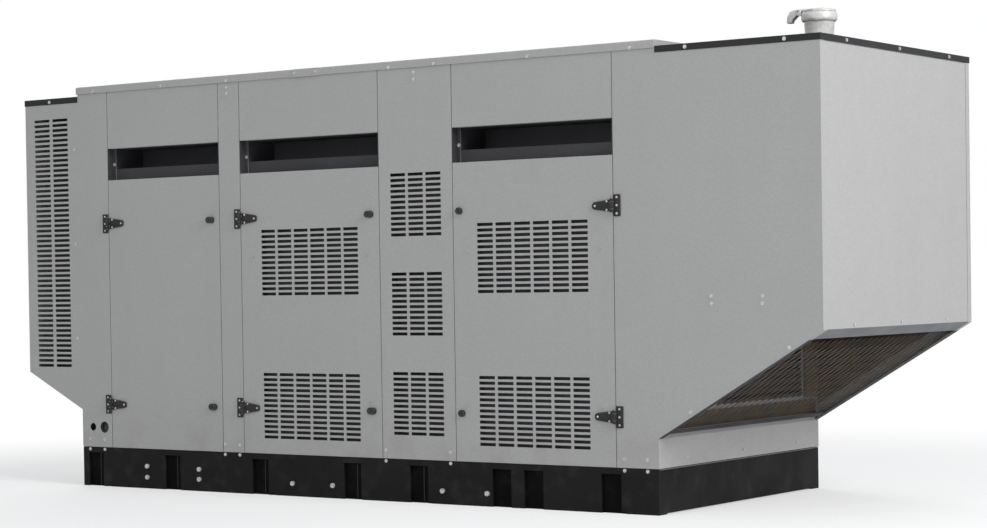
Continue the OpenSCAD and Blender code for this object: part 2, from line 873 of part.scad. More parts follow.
module rain_flap() {
    half = cap_half - air;
    dome_r = flap_r - 16;
    rib_h = 3;
    arm_half = 4;
    weight_half = 12;
    weight_drop = 44;
    weight_x = cap_pin_x - 48;
    color(zinc) difference() {
        union() {
            rod_y(-half, half, cap_barrel_r, cap_pin_x, cap_pin_z);
            translate([x_stack, 0, stack_top + air]) cylinder(h = flap_t, r = flap_r);
            translate([x_stack, 0, stack_top + air]) cylinder(h = 2 * flap_t, r = dome_r);
            box([cap_pin_x, -half, stack_top + air], [x_stack, half, stack_top + air + 2 * flap_t + rib_h]);
            box([weight_x, -half, cap_pin_z - arm_half], [cap_pin_x, half, cap_pin_z + arm_half]);
            box([weight_x - weight_half, -half, cap_pin_z - weight_drop],
                [weight_x + weight_half, half, cap_pin_z + arm_half]);
        }
        rod_y(-half - 1, half + 1, cap_pin_r + run_fit, cap_pin_x, cap_pin_z);
    }
}

// ---- Doors, hinges and latches ----------------------------------------------------------

pin_r = 4;
barrel_r = 8;
pin_off = 9;
leaf_t = 6;
hinge_half = 42;
tongue_half = 14;
strap_len = 92;
strap_in = 48;
strap_out = 32;
door_top = slot_z - half_seam;

// Mirrors in X for dir -1, the hinge-right doors; hinge-left doors have dir 1
module facing(dir) {
    mirror([dir < 0 ? 1 : 0, 0, 0]) children();
}

module hinge_leaf(x, dir, z) {
    leaf_w = 34;
    leaf_in = 2;
    web = 6;
    knuckle_h = hinge_half - tongue_half;
    translate([x, -half_w, z]) facing(dir) difference() {
        union() {
            box([-leaf_w, -leaf_t, -hinge_half], [-leaf_in, 0, hinge_half]);
            for (z0 = [-hinge_half, tongue_half]) {
                translate([0, -pin_off, z0]) cylinder(h = knuckle_h, r = barrel_r);
                box([-web, -pin_off, z0], [0, -pin_off + web, z0 + knuckle_h]);
            }
        }
        translate([0, -pin_off, -hinge_half - 1]) cylinder(h = 2 * hinge_half + 2, r = pin_r + run_fit);
        box([-barrel_r - 1, -pin_off - barrel_r - 1, -tongue_half], [pin_off, 1, tongue_half]);
    }
}

module hinge_strap(x, dir, z) {
    tongue = tongue_half - air;
    link = [2, 7];
    strap_x0 = pin_off + 1;
    strap_x1 = strap_len - strap_out / 2;
    translate([x, -half_w, z]) facing(dir) difference() {
        union() {
            translate([0, -pin_off, -tongue]) cylinder(h = 2 * tongue, r = barrel_r);
            box([0, -pin_off + link[0], -tongue], [strap_x0 + link[0], -pin_off + link[1], tongue]);
            along_y(-leaf_t, 0) polygon([
                [strap_x0, -strap_in / 2], [strap_x1, -strap_out / 2],
                [strap_x1, strap_out / 2], [strap_x0, strap_in / 2]
            ]);
            rod_y(-leaf_t, 0, strap_out / 2, strap_x1);
        }
        translate([0, -pin_off, -tongue - 1]) cylinder(h = 2 * tongue + 2, r = pin_r + run_fit);
    }
}

spindle_r = 9;
knob_r = 14;
knob_wing = 9;
knob_h = 14;
cam_w = 20;
cam_t = 4;
cam_edge = 4;
cam_gap = 0.5;
door_screw_in = 65;
door_screw_up = 25;

module latch_bore(x, z) {
    rod_y(-half_w - 1, -half_w + sheet + 1, spindle_r + run_fit, x, z);
}

// x is the spindle; the cam points up at rest and turns towards the door's edge
module latch(x, z, reach) {
    cam_y = -half_w + post_depth + sheet + cam_gap;
    knob_y = -half_w - air - knob_h;
    for (side = [-1, 1]) rod_y(knob_y, knob_y + knob_h, knob_r, x + side * knob_wing, z);
    box([x - knob_wing, knob_y, z - knob_r], [x + knob_wing, knob_y + knob_h, z + knob_r]);
    rod_y(-half_w - air - 1, cam_y + cam_t, spindle_r, x, z);
    box([x - cam_w / 2, cam_y, z], [x + cam_w / 2, cam_y + cam_t, z + reach - cam_edge]);
}

module door(x, w, dir, latch_x, grilles) {
    hinge_x = dir > 0 ? x : x + w;
    difference() {
        wall_pan(x, w, wall_foot, door_top, door_depth, grilles);
        for (z = rows_z) latch_bore(latch_x, z);
    }
    for (z = rows_z) hinge_strap(hinge_x, dir, z);
    for (z = grilles) for (xs = [x + door_screw_in, x + w - door_screw_in]) {
        screw_front(xs, z + door_screw_up);
    }
}

latch_x_1 = x_post - latch_inset;
latch_x_2 = x_centre - latch_inset;
latch_x_3 = x_door_3 + latch_inset_3;

module control_door() {
    color(paint) door(x_door_1, bay_1, 1, latch_x_1, []);
}
module front_door_2() {
    color(paint) door(x_door_2, bay_2, 1, latch_x_2, door_grilles_z);
}
module front_door_3() {
    color(paint) door(x_door_3, bay_3, -1, latch_x_3, door_grilles_z);
}
module rear_door_2() {
    mirror([0, 1, 0]) front_door_2();
}
module rear_door_3() {
    mirror([0, 1, 0]) front_door_3();
}

module front_latch(x, z, inset) {
    color(black) latch(x, z, inset);
}
module rear_latch(x, z, inset) {
    mirror([0, 1, 0]) front_latch(x, z, inset);
}

// Hinge places: seam and opening direction
front_hinges = [[x_door_1, 1], [x_door_2, 1], [x_end_post, -1]];
rear_hinges = [[x_door_2, 1], [x_end_post, -1]];

module door_hinges() {
    color(dark) {
        for (h = front_hinges) for (z = rows_z) hinge_leaf(h[0], h[1], z);
        mirror([0, 1, 0]) for (h = rear_hinges) for (z = rows_z) hinge_leaf(h[0], h[1], z);
    }
}

module hinge_pin(x, z) {
    translate([x, -half_w - pin_off, z - hinge_half]) cylinder(h = 2 * hinge_half, r = pin_r);
}

module hinge_pins() {
    color(zinc) {
        for (h = front_hinges) for (z = rows_z) hinge_pin(h[0], z);
        mirror([0, 1, 0]) for (h = rear_hinges) for (z = rows_z) hinge_pin(h[0], z);
        rod_y(-cap_half - cap_ear_t, cap_half + cap_ear_t, cap_pin_r, cap_pin_x, cap_pin_z);
    }
}

// ---- Fasteners --------------------------------------------------------------------------

screw_r = 6;
screw_h = 4;
washer_r = 7.5;
washer_h = 1;

// A flanged screw head that stands on the origin and points along +Z
module screw() {
    cylinder(h = washer_h, r = washer_r);
    cylinder(h = screw_h, r = screw_r, $fn = 6);
}

module screw_front(x, z, y = -half_w) {
    translate([x, y, z]) rotate([90, 0, 0]) screw();
}

module screw_right(y, z, x) {
    translate([x, y, z]) rotate([0, 90, 0]) screw();
}

// Places of the screws, measured from the seams, ends and edges beside them
post_pts = [
    x_left + 43, x_left + 134, x_post + 11, x_post + 94,
    x_centre + 16, x_centre + 343, x_end_post + 36, x_end_post + 138
];
screw_low = base_h + 35;
screw_base = base_h - 9;
lip_pts = [
    x_left + 101, x_left + 514, x_left + 894,
    x_right - 1250, x_right - 1020, x_right - 569, x_right - 101
];
lip_drop = 25;
splice_pts = [splice_x0 + 12, splice_x1 - 12];
splice_drop = 18;
head_pts = [x_post + 52, x_centre + centre_w / 2];
head_drops = [52, 80];
cap_pts_y = [-451, 2, 461];
hood_pts = [x_right + 237, x_right + 451];
hood_rows_z = [801, 829];
slope_pts = [142, 557];
slope_up = 20;
trim_pts = [x_right + 138, x_right + 553];
intake_drops = [239, 667, 1093];
jamb_screw_in = 6.8;

module wall_screws() {
    for (x = post_pts) {
        screw_front(x, screw_low);
        screw_front(x, screw_base);
    }
    for (x = lip_pts) screw_front(x, body_h - lip_drop, -roof_w);
    for (x = splice_pts) screw_front(x, body_h - splice_drop, -roof_w - splice_out);
    for (x = head_pts) for (d = head_drops) screw_front(x, body_h - d);
}

// A screw on the left jamb of each slot, at mid height
module jamb_screws(bays) {
    for (bay = bays) {
        screw_front(bay[0] + stop_w - jamb_screw_in, (slot_z + header_z) / 2, -half_w + post_depth - sheet);
    }
}

module hood_screws() {
    intake_screw_out = 25;
    intake_cap_pt = [176, 16];
    for (x = hood_pts) for (z = hood_rows_z) screw_front(x, z);
    for (d = slope_pts) screw_front(x_right + d, slope_foot + d * outlet_rise / hood_len + slope_up);
    for (x = trim_pts) screw_front(x, hood_top - trim_h / 2, -half_w - sheet);
    for (d = intake_drops) screw_front(x_left - intake_screw_out, intake_top - d);
    screw_front(x_left - intake_cap_pt[0], intake_top - intake_cap_pt[1], -half_w - sheet);
}

module end_screws() {
    foot_up = 16;
    foot_share = 0.9;
    skirt_up = 32;
    for (y = cap_pts_y) {
        screw_right(y, hood_top - trim_h / 2, x_hood + sheet);
        screw_right(y * foot_share, hood_end_z + foot_up, x_hood - sheet);
        screw_right(y, base_h + skirt_up, x_right + sheet);
    }
}

module base_bolt(p) {
    rod_y(-half_w - bolt_head_h, -half_w, bolt_head_r, p[0], p[1]);
    rod_y(-half_w - 1, -half_w + rail_t, bolt_r, p[0], p[1]);
}

module fasteners() {
    color(zinc) {
        both_walls() {
            wall_screws();
            hood_screws();
            for (p = base_bolt_pts) base_bolt(p);
        }
        end_screws();
        jamb_screws(bays_with_doors);
        mirror([0, 1, 0]) jamb_screws([[x_door_2, bay_2], [x_door_3, bay_3]]);
    }
}

// ---- Engine -----------------------------------------------------------------------------

pan_face = 60;
valley_z = 230;

// The block's section, with its sides and its valley a gap larger for what seats against it
module block_outline(gap = 0) {
    half = [
        [190 + gap, -pan_face], [230 + gap, 80], deck_out, deck_in + [0, gap], [60, valley_z + gap]
    ];
    polygon(concat(half, [for (i = [len(half) - 1 : -1 : 0]) [-half[i][0], half[i][1]]]));
}

module in_shaft_frame() {
    translate([0, 0, shaft_z]) children();
}

// Lays the children on a bank's deck: Z points away from the deck, Y down its slope
module on_bank(side) {
    in_shaft_frame() translate([0, side * deck_mid[0], deck_mid[1]]) rotate([-side * 45, 0, 0]) children();
}

cylinder_r = 50;
cylinder_deep = 230;
deck_w = norm(deck_out - deck_in);
head_in = 25;
head_x0 = block_x0 + head_in;
head_x1 = block_x1 - head_in;
head_pitch = (head_x1 - head_x0) / 4;
case_r = 125;
bell_r = 250;
bell_in = 228;
fan_shaft_r = 15;
bracket_t = 25;

// Engine and generator feet: where they stand along X, and their arms' faces across Y
foot_half = 40;
foot_t = 16;
foot_arm = [180, 215];
engine_feet_x = [block_x0 + 190, block_x1 - 190];
gen_foot_x = gen_x0 + 160;

module engine_block() {
    wall = 45;
    mid = (block_x0 + block_x1) / 2;
    bracket_half = 50;
    bracket_z0 = shaft_z + journal_r + 60;
    color(iron) difference() {
        union() {
            in_shaft_frame() along_x(block_x0, block_x1) block_outline();
            rod_x(bell_x0, block_x0, bell_r, 0, shaft_z);
            box([block_x1, -bracket_half, bracket_z0], [block_x1 + bracket_t, bracket_half, fan_z + 50]);
            for (x = engine_feet_x) both_walls() {
                box([x - foot_half, -foot_arm[1], feet_z], [x + foot_half, -foot_arm[0], shaft_z]);
                box([x - foot_half, -skid_y - foot_half, feet_z], [x + foot_half, -foot_arm[0], feet_z + foot_t]);
            }
        }
        rod_x(bell_x0 - 1, block_x1 + 1, journal_r + run_fit, 0, shaft_z);
        rod_x(bell_x0 - 1, block_x0 - wall / 2, bell_in, 0, shaft_z);
        rod_x(block_x0 + wall, mid - wall / 2, case_r, 0, shaft_z);
        rod_x(mid + wall / 2, block_x1 - wall, case_r, 0, shaft_z);
        rod_x(block_x1 - 1, block_x1 + bracket_t + 1, fan_shaft_r + run_fit, 0, fan_z);
        for (side = [-1, 1]) for (i = [0 : 3]) {
            on_bank(side) translate([head_x0 + head_pitch * (i + 0.5), 0, -cylinder_deep])
                cylinder(h = cylinder_deep + 1, r = cylinder_r);
        }
    }
}

module cylinder_heads() {
    cover_w = 150;
    cover_in = 20;
    color(iron) for (side = [-1, 1]) on_bank(side) {
        box([head_x0, -deck_w / 2, 0], [head_x1, deck_w / 2, head_t]);
        box([head_x0 + cover_in, -cover_w / 2, head_t], [head_x1 - cover_in, cover_w / 2, head_t + cover_t]);
    }
}

module oil_pan() {
    pan_half = 165;
    pan_h = 190;
    pan_in = 20;
    wall = 4;
    x0 = block_x0 + pan_in;
    x1 = block_x1 - pan_in;
    top = shaft_z - pan_face;
    color(black) difference() {
        box([x0, -pan_half, top - pan_h], [x1, pan_half, top]);
        box([x0 + wall, -pan_half + wall, top - pan_h + wall], [x1 - wall, pan_half - wall, top + 1]);
    }
}

mixer_up = 330;
mixer_z = shaft_z + mixer_up;
mixer_x = block_x0 - 12;
plenum_up = 380;
plenum_top = shaft_z + plenum_up;

module intake_manifold() {
    plenum_half = 135;
    plenum_in = 40;
    mixer_r = 48;
    throat_r = 38;
    throat_in = 60;
    color([0.70, 0.71, 0.72]) difference() {
        union() {
            box([head_x0 + plenum_in, -plenum_half, shaft_z + valley_z + 1],
                [head_x1 - plenum_in, plenum_half, plenum_top]);
            rod_x(mixer_x, head_x0 + plenum_in + 1, mixer_r, 0, mixer_z);
        }
        in_shaft_frame() along_x(block_x0 - 1, block_x1 + 1) block_outline(air);
        rod_x(mixer_x + 6, head_x1 - throat_in, throat_r, 0, mixer_z);
    }
}

module exhaust_manifolds() {
    port_r = 24;
    head_y = deck_w / 2;
    log_off = manifold_off - head_y;
    log_wall = 6;
    color([0.45, 0.36, 0.30]) for (side = [-1, 1]) difference() {
        union() {
            rod_x(bend_x, head_x1 - 40, manifold_r, side * exhaust_y, shaft_z + manifold_z);
            for (i = [0 : 3]) {
                on_bank(side) translate([head_x0 + head_pitch * (i + 0.5), side * head_y, head_t / 2])
                    rotate([-side * 90, 0, 0]) cylinder(h = log_off, r = port_r);
            }
        }
        rod_x(bend_x - 1, head_x1 - 60, manifold_r - log_wall, side * exhaust_y, shaft_z + manifold_z);
    }
}

module air_cleaner() {
    can_r = 105;
    can_len = 320;
    can_x0 = block_x0 + 160;
    can_up = 30;
    can_z = plenum_top + can_r + can_up;
    neck_r = 45;
    color(black) {
        rod_x(can_x0, can_x0 + can_len, can_r, 0, can_z);
        translate([can_x0 + can_len / 2, 0, plenum_top]) cylinder(h = can_r, r = neck_r);
    }
}

// The charging alternator, driven by the belt
alt_y = 300;
alt_z = shaft_z - 10;
alt_r = 68;
alt_shaft_r = 8;
alt_shaft_in = 60;

module engine_electrics() {
    alt_len = 150;
    alt_x1 = pulley_x - 15;
    alt_x0 = alt_x1 - alt_len;
    arm_half = 15;
    starter_y = -262;
    starter_z = shaft_z - 50;
    starter_r = 45;
    starter_len = 130;
    solenoid_r = 24;
    solenoid_len = 90;
    color([0.55, 0.55, 0.56]) {
        difference() {
            union() {
                rod_x(alt_x0, alt_x1, alt_r, alt_y, alt_z);
                box([alt_x0 + 40, 150, alt_z - arm_half], [alt_x0 + 80, alt_y, alt_z + arm_half]);
            }
            rod_x(alt_x1 - alt_shaft_in, alt_x1 + 1, alt_shaft_r + run_fit, alt_y, alt_z);
            in_shaft_frame() along_x(block_x0 - 1, block_x1 + 1) block_outline(air);
        }
        rod_x(block_x0, block_x0 + starter_len, starter_r, starter_y, starter_z);
        rod_x(block_x0, block_x0 + solenoid_len, solenoid_r, starter_y - 20, starter_z + 66);
    }
}

// The pulleys that the belt runs round
fan_pulley_r = 75;
crank_pulley_r = 90;
alt_pulley_r = 40;

module charging_pulley() {
    color(zinc) {
        rod_x(pulley_x, pulley_x + pulley_w, alt_pulley_r, alt_y, alt_z);
        rod_x(pulley_x - alt_shaft_in, pulley_x + 1, alt_shaft_r, alt_y, alt_z);
    }
}

// The crankshaft, its pulley, the flywheel and the generator's rotor turn as one
rotor_r = 150;
gen_shaft_r = 35;

module crankshaft() {
    web_t = 30;
    web_off = 42;
    web_r = 60;
    web_gap = 60;
    flywheel_r = 205;
    flywheel = [25, 70];
    rotor_in = [140, 130];
    quarter = block_len / 4;
    color([0.60, 0.60, 0.62]) {
        rod_x(bell_x0 + 20, pulley_x + 1, journal_r, 0, shaft_z);
        rod_x(pulley_x, pulley_x + pulley_w, crank_pulley_r, 0, shaft_z);
        rod_x(bell_x0 + flywheel[0], bell_x0 + flywheel[1], flywheel_r, 0, shaft_z);
        for (i = [0, 1]) for (side = [-1, 1]) {
            x = block_x0 + quarter * (1 + 2 * i) + side * web_gap;
            rod_x(x - web_t / 2, x + web_t / 2, web_r, 0, shaft_z + web_off * side * (1 - 2 * i));
        }
        rod_x(gen_x0 + 10, bell_x0 + flywheel[0] + 1, gen_shaft_r, 0, shaft_z);
        rod_x(gen_x0 + rotor_in[0], gen_x1 - rotor_in[1], rotor_r, 0, shaft_z);
    }
}

module generator_housing() {
    rotor_gap = 2;
    bearing_w = 60;
    throat_w = 70;
    duct_r = 38;
    duct_ring = 208;
    screen_l = 90;
    screen_wall = 10;
    screen_r = gen_r - 60;
    box_half = 160;
    x = gen_foot_x;
    color(iron) difference() {
        union() {
            rod_x(gen_x0, gen_x1, gen_r, 0, shaft_z);
            rod_x(gen_x0 - screen_l, gen_x0, screen_r, 0, shaft_z);
            both_walls() {
                box([x - foot_half, -skid_y - foot_half, feet_z], [x + foot_half, -150, feet_z + foot_t]);
                box([x - foot_half, -foot_arm[1], feet_z], [x + foot_half, -foot_arm[0], shaft_z - 100]);
            }
            box([gen_x0 + 120, -box_half, shaft_z + gen_r - 60], [gen_x1 - 260, box_half, shaft_z + gen_r + 90]);
        }
        rod_x(gen_x0 + bearing_w, gen_x1 - bearing_w, rotor_r + rotor_gap, 0, shaft_z);
        rod_x(gen_x1 - throat_w, gen_x1 + 1, bell_in, 0, shaft_z);
        rod_x(gen_x0 - 1, gen_x0 + bearing_w + 1, gen_shaft_r + run_fit, 0, shaft_z);
        rod_x(gen_x0 - screen_l + screen_wall, gen_x0 - 1, screen_r - screen_wall, 0, shaft_z);
        for (a = [45 : 90 : 315]) {
            rod_x(gen_x0 + bearing_w, gen_x1 - throat_w + 1, duct_r,
                duct_ring * cos(a), shaft_z + duct_ring * sin(a));
        }
    }
}

module isolators() {
    color(rubber) both_walls() for (x = concat([gen_foot_x], engine_feet_x)) {
        translate([x, -skid_y, skid_z + skid_h]) cylinder(h = isolator_h, r = isolator_r);
    }
}

// ---- Cooling ----------------------------------------------------------------------------

module radiator() {
    core_in = 30;
    shroud_t = 3;
    ring_in = fan_r + fan_clear;
    x0 = wall_in - radiator_d;
    color([0.20, 0.20, 0.21]) {
        box([x0, -radiator_half, radiator_z], [wall_in, radiator_half, radiator_z + tank_h]);
        box([x0, -radiator_half, radiator_top - tank_h], [wall_in, radiator_half, radiator_top]);
        box([x0 + core_in, -radiator_half, radiator_z + tank_h],
            [wall_in - core_in, radiator_half, radiator_top - tank_h]);
        difference() {
            union() {
                box([x0 - shroud_t, -radiator_half, radiator_z + tank_h],
                    [x0, radiator_half, radiator_top - tank_h]);
                rod_x(shroud_x, x0, ring_in + shroud_t, 0, fan_z);
            }
            rod_x(shroud_x - 1, x0 + 1, ring_in, 0, fan_z);
        }
    }
}

module cooling_fan() {
    blades = 6;
    blade_half = 2;
    blade_in = 15;
    chord = 120;
    pitch = 35;
    hub_r = 60;
    hub_half = 30;
    color(black) {
        rod_x(block_x1 + 1, fan_x + 20, fan_shaft_r, 0, fan_z);
        rod_x(pulley_x, pulley_x + pulley_w, fan_pulley_r, 0, fan_z);
        rod_x(fan_x - hub_half, fan_x + hub_half, hub_r, 0, fan_z);
        for (i = [0 : blades - 1]) {
            translate([fan_x, 0, fan_z]) rotate([i * 360 / blades, 0, 0]) rotate([0, 0, pitch])
                box([-blade_half, -chord / 2, hub_r - blade_in], [blade_half, chord / 2, fan_r]);
        }
    }
}

module pulley_hull(grow) {
    hull() {
        circle(r = crank_pulley_r + grow, $fn = 32);
        translate([0, fan_z - shaft_z]) circle(r = fan_pulley_r + grow, $fn = 32);
        translate([alt_y, alt_z - shaft_z]) circle(r = alt_pulley_r + grow, $fn = 32);
    }
}

module hoses_and_belts() {
    hose_r = 24;
    top_y = 120;
    top_x = head_x1 - 60;
    top_z = radiator_top - tank_h / 2;
    low_y = -150;
    low_z = radiator_z + tank_h / 2;
    low_x = block_x1 + 32;
    pump_z = shaft_z - 20;
    core_x0 = wall_in - radiator_d;
    belt_x = pulley_x + (pulley_w - belt_w) / 2;
    belt_in = 1.2;
    belt_out = 6;
    color(rubber) {
        translate([top_x, top_y, plenum_top + air]) cylinder(h = top_z - plenum_top - air, r = hose_r);
        translate([top_x, top_y, top_z]) sphere(r = hose_r);
        rod_x(top_x, core_x0 - air, hose_r, top_y, top_z);
        rod_x(block_x1 + air, low_x, hose_r, low_y, pump_z);
        translate([low_x, low_y, pump_z]) sphere(r = hose_r);
        translate([low_x, low_y, low_z]) cylinder(h = pump_z - low_z, r = hose_r);
        translate([low_x, low_y, low_z]) sphere(r = hose_r);
        rod_x(low_x, core_x0 - air, hose_r, low_y, low_z);
        in_shaft_frame() along_x(belt_x, belt_x + belt_w) difference() {
            pulley_hull(belt_out);
            pulley_hull(belt_in);
        }
    }
}

// ---- Controls, battery and gas ----------------------------------------------------------

ctrl_x0 = x_door_1 + 40;
ctrl_x1 = x_post - 30;
ctrl_y0 = -half_w + 90;
ctrl_y1 = ctrl_y0 + 300;
ctrl_z0 = base_h + 585;
ctrl_z1 = slot_z - 45;
stop_x = ctrl_x1 - 80;
stop_z = ctrl_z1 - 330;
stop_r = 20;
stop_h = 20;
stop_spindle = 8;
stop_travel = 6;
breaker_x = (ctrl_x0 + ctrl_x1) / 2;
breaker_z = ctrl_z0 - 190;
handle_y = ctrl_y0 - 12;
trunnion_r = 5;
ear_x = 16;
ear_t = 6;
ear_half = 12;
ear_out = 10;

// A sheet steel cabinet, open at the back
module cabinet(z0, z1) {
    difference() {
        box([ctrl_x0, ctrl_y0, z0], [ctrl_x1, ctrl_y1, z1]);
        box([ctrl_x0 + sheet, ctrl_y0 + sheet, z0 + sheet], [ctrl_x1 - sheet, ctrl_y1 + 1, z1 - sheet]);
    }
}

module control_cabinet() {
    color([0.75, 0.76, 0.77]) difference() {
        cabinet(ctrl_z0, ctrl_z1);
        rod_y(ctrl_y0 - 1, ctrl_y0 + sheet + 1, stop_spindle + run_fit, stop_x, stop_z);
    }
}

module stop_button() {
    color([0.75, 0.10, 0.08]) {
        rod_y(ctrl_y0 - stop_travel - stop_h, ctrl_y0 - stop_travel - 1, stop_r, stop_x, stop_z);
        rod_y(ctrl_y0 - stop_travel - 2, ctrl_y0 + stop_h, stop_spindle, stop_x, stop_z);
    }
}

module breaker_box() {
    color([0.35, 0.36, 0.37]) {
        difference() {
            union() {
                cabinet(base_h - rail_t, ctrl_z0);
                for (x = [breaker_x - ear_x - ear_t, breaker_x + ear_x]) {
                    box([x, handle_y - ear_out, breaker_z - ear_half], [x + ear_t, ctrl_y0, breaker_z + ear_half]);
                }
            }
            rod_x(breaker_x - 40, breaker_x + 40, trunnion_r + run_fit, handle_y, breaker_z);
        }
    }
}

module breaker_handle() {
    barrel = 9;
    lever = 32;
    lever_half = 5;
    lever_in = 2;
    tilt = 35;
    color(black) {
        rod_x(breaker_x - ear_x + air, breaker_x + ear_x - air, barrel, handle_y, breaker_z);
        rod_x(breaker_x - ear_x - ear_t, breaker_x + ear_x + ear_t, trunnion_r, handle_y, breaker_z);
        translate([breaker_x, handle_y, breaker_z]) rotate([-tilt, 0, 0])
            box([-ear_x + lever_in, -lever, -lever_half], [ear_x - lever_in, 0, lever_half]);
    }
}

module battery() {
    case = [240, 180, 210];
    case_y = 340;
    terminal_in = 30;
    terminal_y = 380;
    z0 = base_h - rail_t;
    x1 = gen_x0 - 10;
    x0 = x1 - case[0];
    color(black) {
        box([x0, case_y, z0], [x1, case_y + case[1], z0 + case[2]]);
        for (x = [x0 + terminal_in, x1 - terminal_in]) {
            translate([x, terminal_y, z0 + case[2]]) cylinder(h = 16, r = 9);
        }
    }
}

gas_y = -half_w + 62;
gas_x = gen_x1 - 150;
gas_riser_y = -360;

module gas_train() {
    joint_r = gas_r + 6;
    entry_in = 18;
    regulator_r = 75;
    regulator_half = 35;
    regulator_z = shaft_z - 60;
    color([0.70, 0.55, 0.15]) {
        rod_y(-half_w + sheet + entry_in, gas_y, joint_r, fuel_x, entry_z);
        translate([fuel_x, gas_y, entry_z]) sphere(r = joint_r);
        rod_x(fuel_x, gas_x, gas_r, gas_y, entry_z);
        translate([gas_x, gas_y, entry_z]) sphere(r = joint_r);
        rod_y(gas_y, gas_riser_y, gas_r, gas_x, entry_z);
        translate([gas_x, gas_riser_y, entry_z]) sphere(r = joint_r);
        translate([gas_x, gas_riser_y, entry_z]) cylinder(h = mixer_z - entry_z, r = gas_r);
        rod_x(gas_x - regulator_half, gas_x + regulator_half, regulator_r, gas_riser_y, regulator_z);
        translate([gas_x, gas_riser_y, mixer_z]) sphere(r = joint_r);
        rod_y(gas_riser_y, 0, gas_r, gas_x, mixer_z);
        translate([gas_x, 0, mixer_z]) sphere(r = joint_r);
        rod_x(gas_x, mixer_x - air, gas_r, 0, mixer_z);
    }
}

// ---- Selection --------------------------------------------------------------------------

base_rails();
base_end_plates();
base_crossmembers();
skid_rails();
corner_posts();
mid_posts();
fixed_panels();
header_panels();
slot_ducts();
door_seals();
roof_panels();
end_walls();
discharge_hood_sides();
discharge_hood_end();
discharge_hood_cap();
discharge_screen();
intake_hood_shell();
intake_hood_cap();
silencer();
exhaust_pipes();
stack_collar();
door_hinges();
hinge_pins();
fasteners();
engine_block();
cylinder_heads();
oil_pan();
intake_manifold();
exhaust_manifolds();
air_cleaner();
engine_electrics();
generator_housing();
isolators();
radiator();
hoses_and_belts();
control_cabinet();
breaker_box();
battery();
gas_train();
crankshaft();
cooling_fan();
charging_pulley();
control_door();
front_door_2();
front_door_3();
rear_door_2();
rear_door_3();
front_latch(latch_x_1, low_row, latch_inset);  // latch_control_low
front_latch(latch_x_1, high_row, latch_inset);  // latch_control_high
front_latch(latch_x_2, low_row, latch_inset);  // latch_front_2_low
front_latch(latch_x_2, high_row, latch_inset);  // latch_front_2_high
front_latch(latch_x_3, low_row, latch_inset_3);  // latch_front_3_low
front_latch(latch_x_3, high_row, latch_inset_3);  // latch_front_3_high
rear_latch(latch_x_2, low_row, latch_inset);  // latch_rear_2_low
rear_latch(latch_x_2, high_row, latch_inset);  // latch_rear_2_high
rear_latch(latch_x_3, low_row, latch_inset_3);  // latch_rear_3_low
rear_latch(latch_x_3, high_row, latch_inset_3);  // latch_rear_3_high
rain_flap();
stop_button();
breaker_handle();
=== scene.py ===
import json
import math

import bpy
from mathutils import Matrix, Vector


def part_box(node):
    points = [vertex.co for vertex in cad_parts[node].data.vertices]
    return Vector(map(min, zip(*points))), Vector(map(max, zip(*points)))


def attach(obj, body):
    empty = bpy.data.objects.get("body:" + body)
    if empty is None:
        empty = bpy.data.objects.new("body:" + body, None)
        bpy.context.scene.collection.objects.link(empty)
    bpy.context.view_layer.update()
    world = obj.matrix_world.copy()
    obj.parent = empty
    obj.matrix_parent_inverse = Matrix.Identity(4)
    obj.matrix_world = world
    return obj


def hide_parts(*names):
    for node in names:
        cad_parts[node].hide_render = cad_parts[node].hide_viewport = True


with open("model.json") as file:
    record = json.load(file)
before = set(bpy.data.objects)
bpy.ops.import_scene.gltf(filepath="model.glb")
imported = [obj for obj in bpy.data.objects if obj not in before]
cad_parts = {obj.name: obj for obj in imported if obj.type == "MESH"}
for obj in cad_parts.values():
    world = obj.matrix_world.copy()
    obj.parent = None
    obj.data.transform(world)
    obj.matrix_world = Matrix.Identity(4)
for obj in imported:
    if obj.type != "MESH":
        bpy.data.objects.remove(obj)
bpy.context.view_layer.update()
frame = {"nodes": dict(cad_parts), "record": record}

MM = 0.001
DUST = (0.26, 0.23, 0.19)


# ---- Shader building ---------------------------------------------------------

class Wire:
    """A node's output, on which ordinary arithmetic adds Math nodes."""

    def __init__(self, nodes, socket):
        self.nodes = nodes
        self.socket = socket

    def math(self, operation, *values):
        return self.nodes.node("ShaderNodeMath", {"operation": operation}, dict(enumerate(values)))

    def __add__(self, other):
        return self.math("ADD", self, other)

    def __mul__(self, other):
        return self.math("MULTIPLY", self, other)

    def __gt__(self, other):
        return self.math("GREATER_THAN", self, other)

    def __lt__(self, other):
        return self.math("LESS_THAN", self, other)

    def size(self):
        return self.math("ABSOLUTE", self)

    def ramp(self, low, high, at_low=0.0, at_high=1.0):
        """A smooth step from at_low to at_high as the value goes from low to high."""
        settings = {"interpolation_type": "SMOOTHSTEP"}
        return self.nodes.node("ShaderNodeMapRange", settings, {
            "Value": self, "From Min": low, "From Max": high, "To Min": at_low, "To Max": at_high,
        })


class Nodes:
    """A node tree under construction."""

    def __init__(self, tree):
        self.tree = tree

    def node(self, kind, settings=None, inputs=None, output=0):
        made = self.tree.nodes.new(kind)
        for name, value in (settings or {}).items():
            setattr(made, name, value)
        for name, value in (inputs or {}).items():
            self.put(made.inputs[name], value)
        return Wire(self, made.outputs[output])

    def put(self, socket, value):
        if isinstance(value, Wire):
            self.tree.links.new(value.socket, socket)
        elif isinstance(value, (tuple, list)) and socket.type == "RGBA":
            socket.default_value = (*value[:3], 1.0)
        else:
            socket.default_value = value


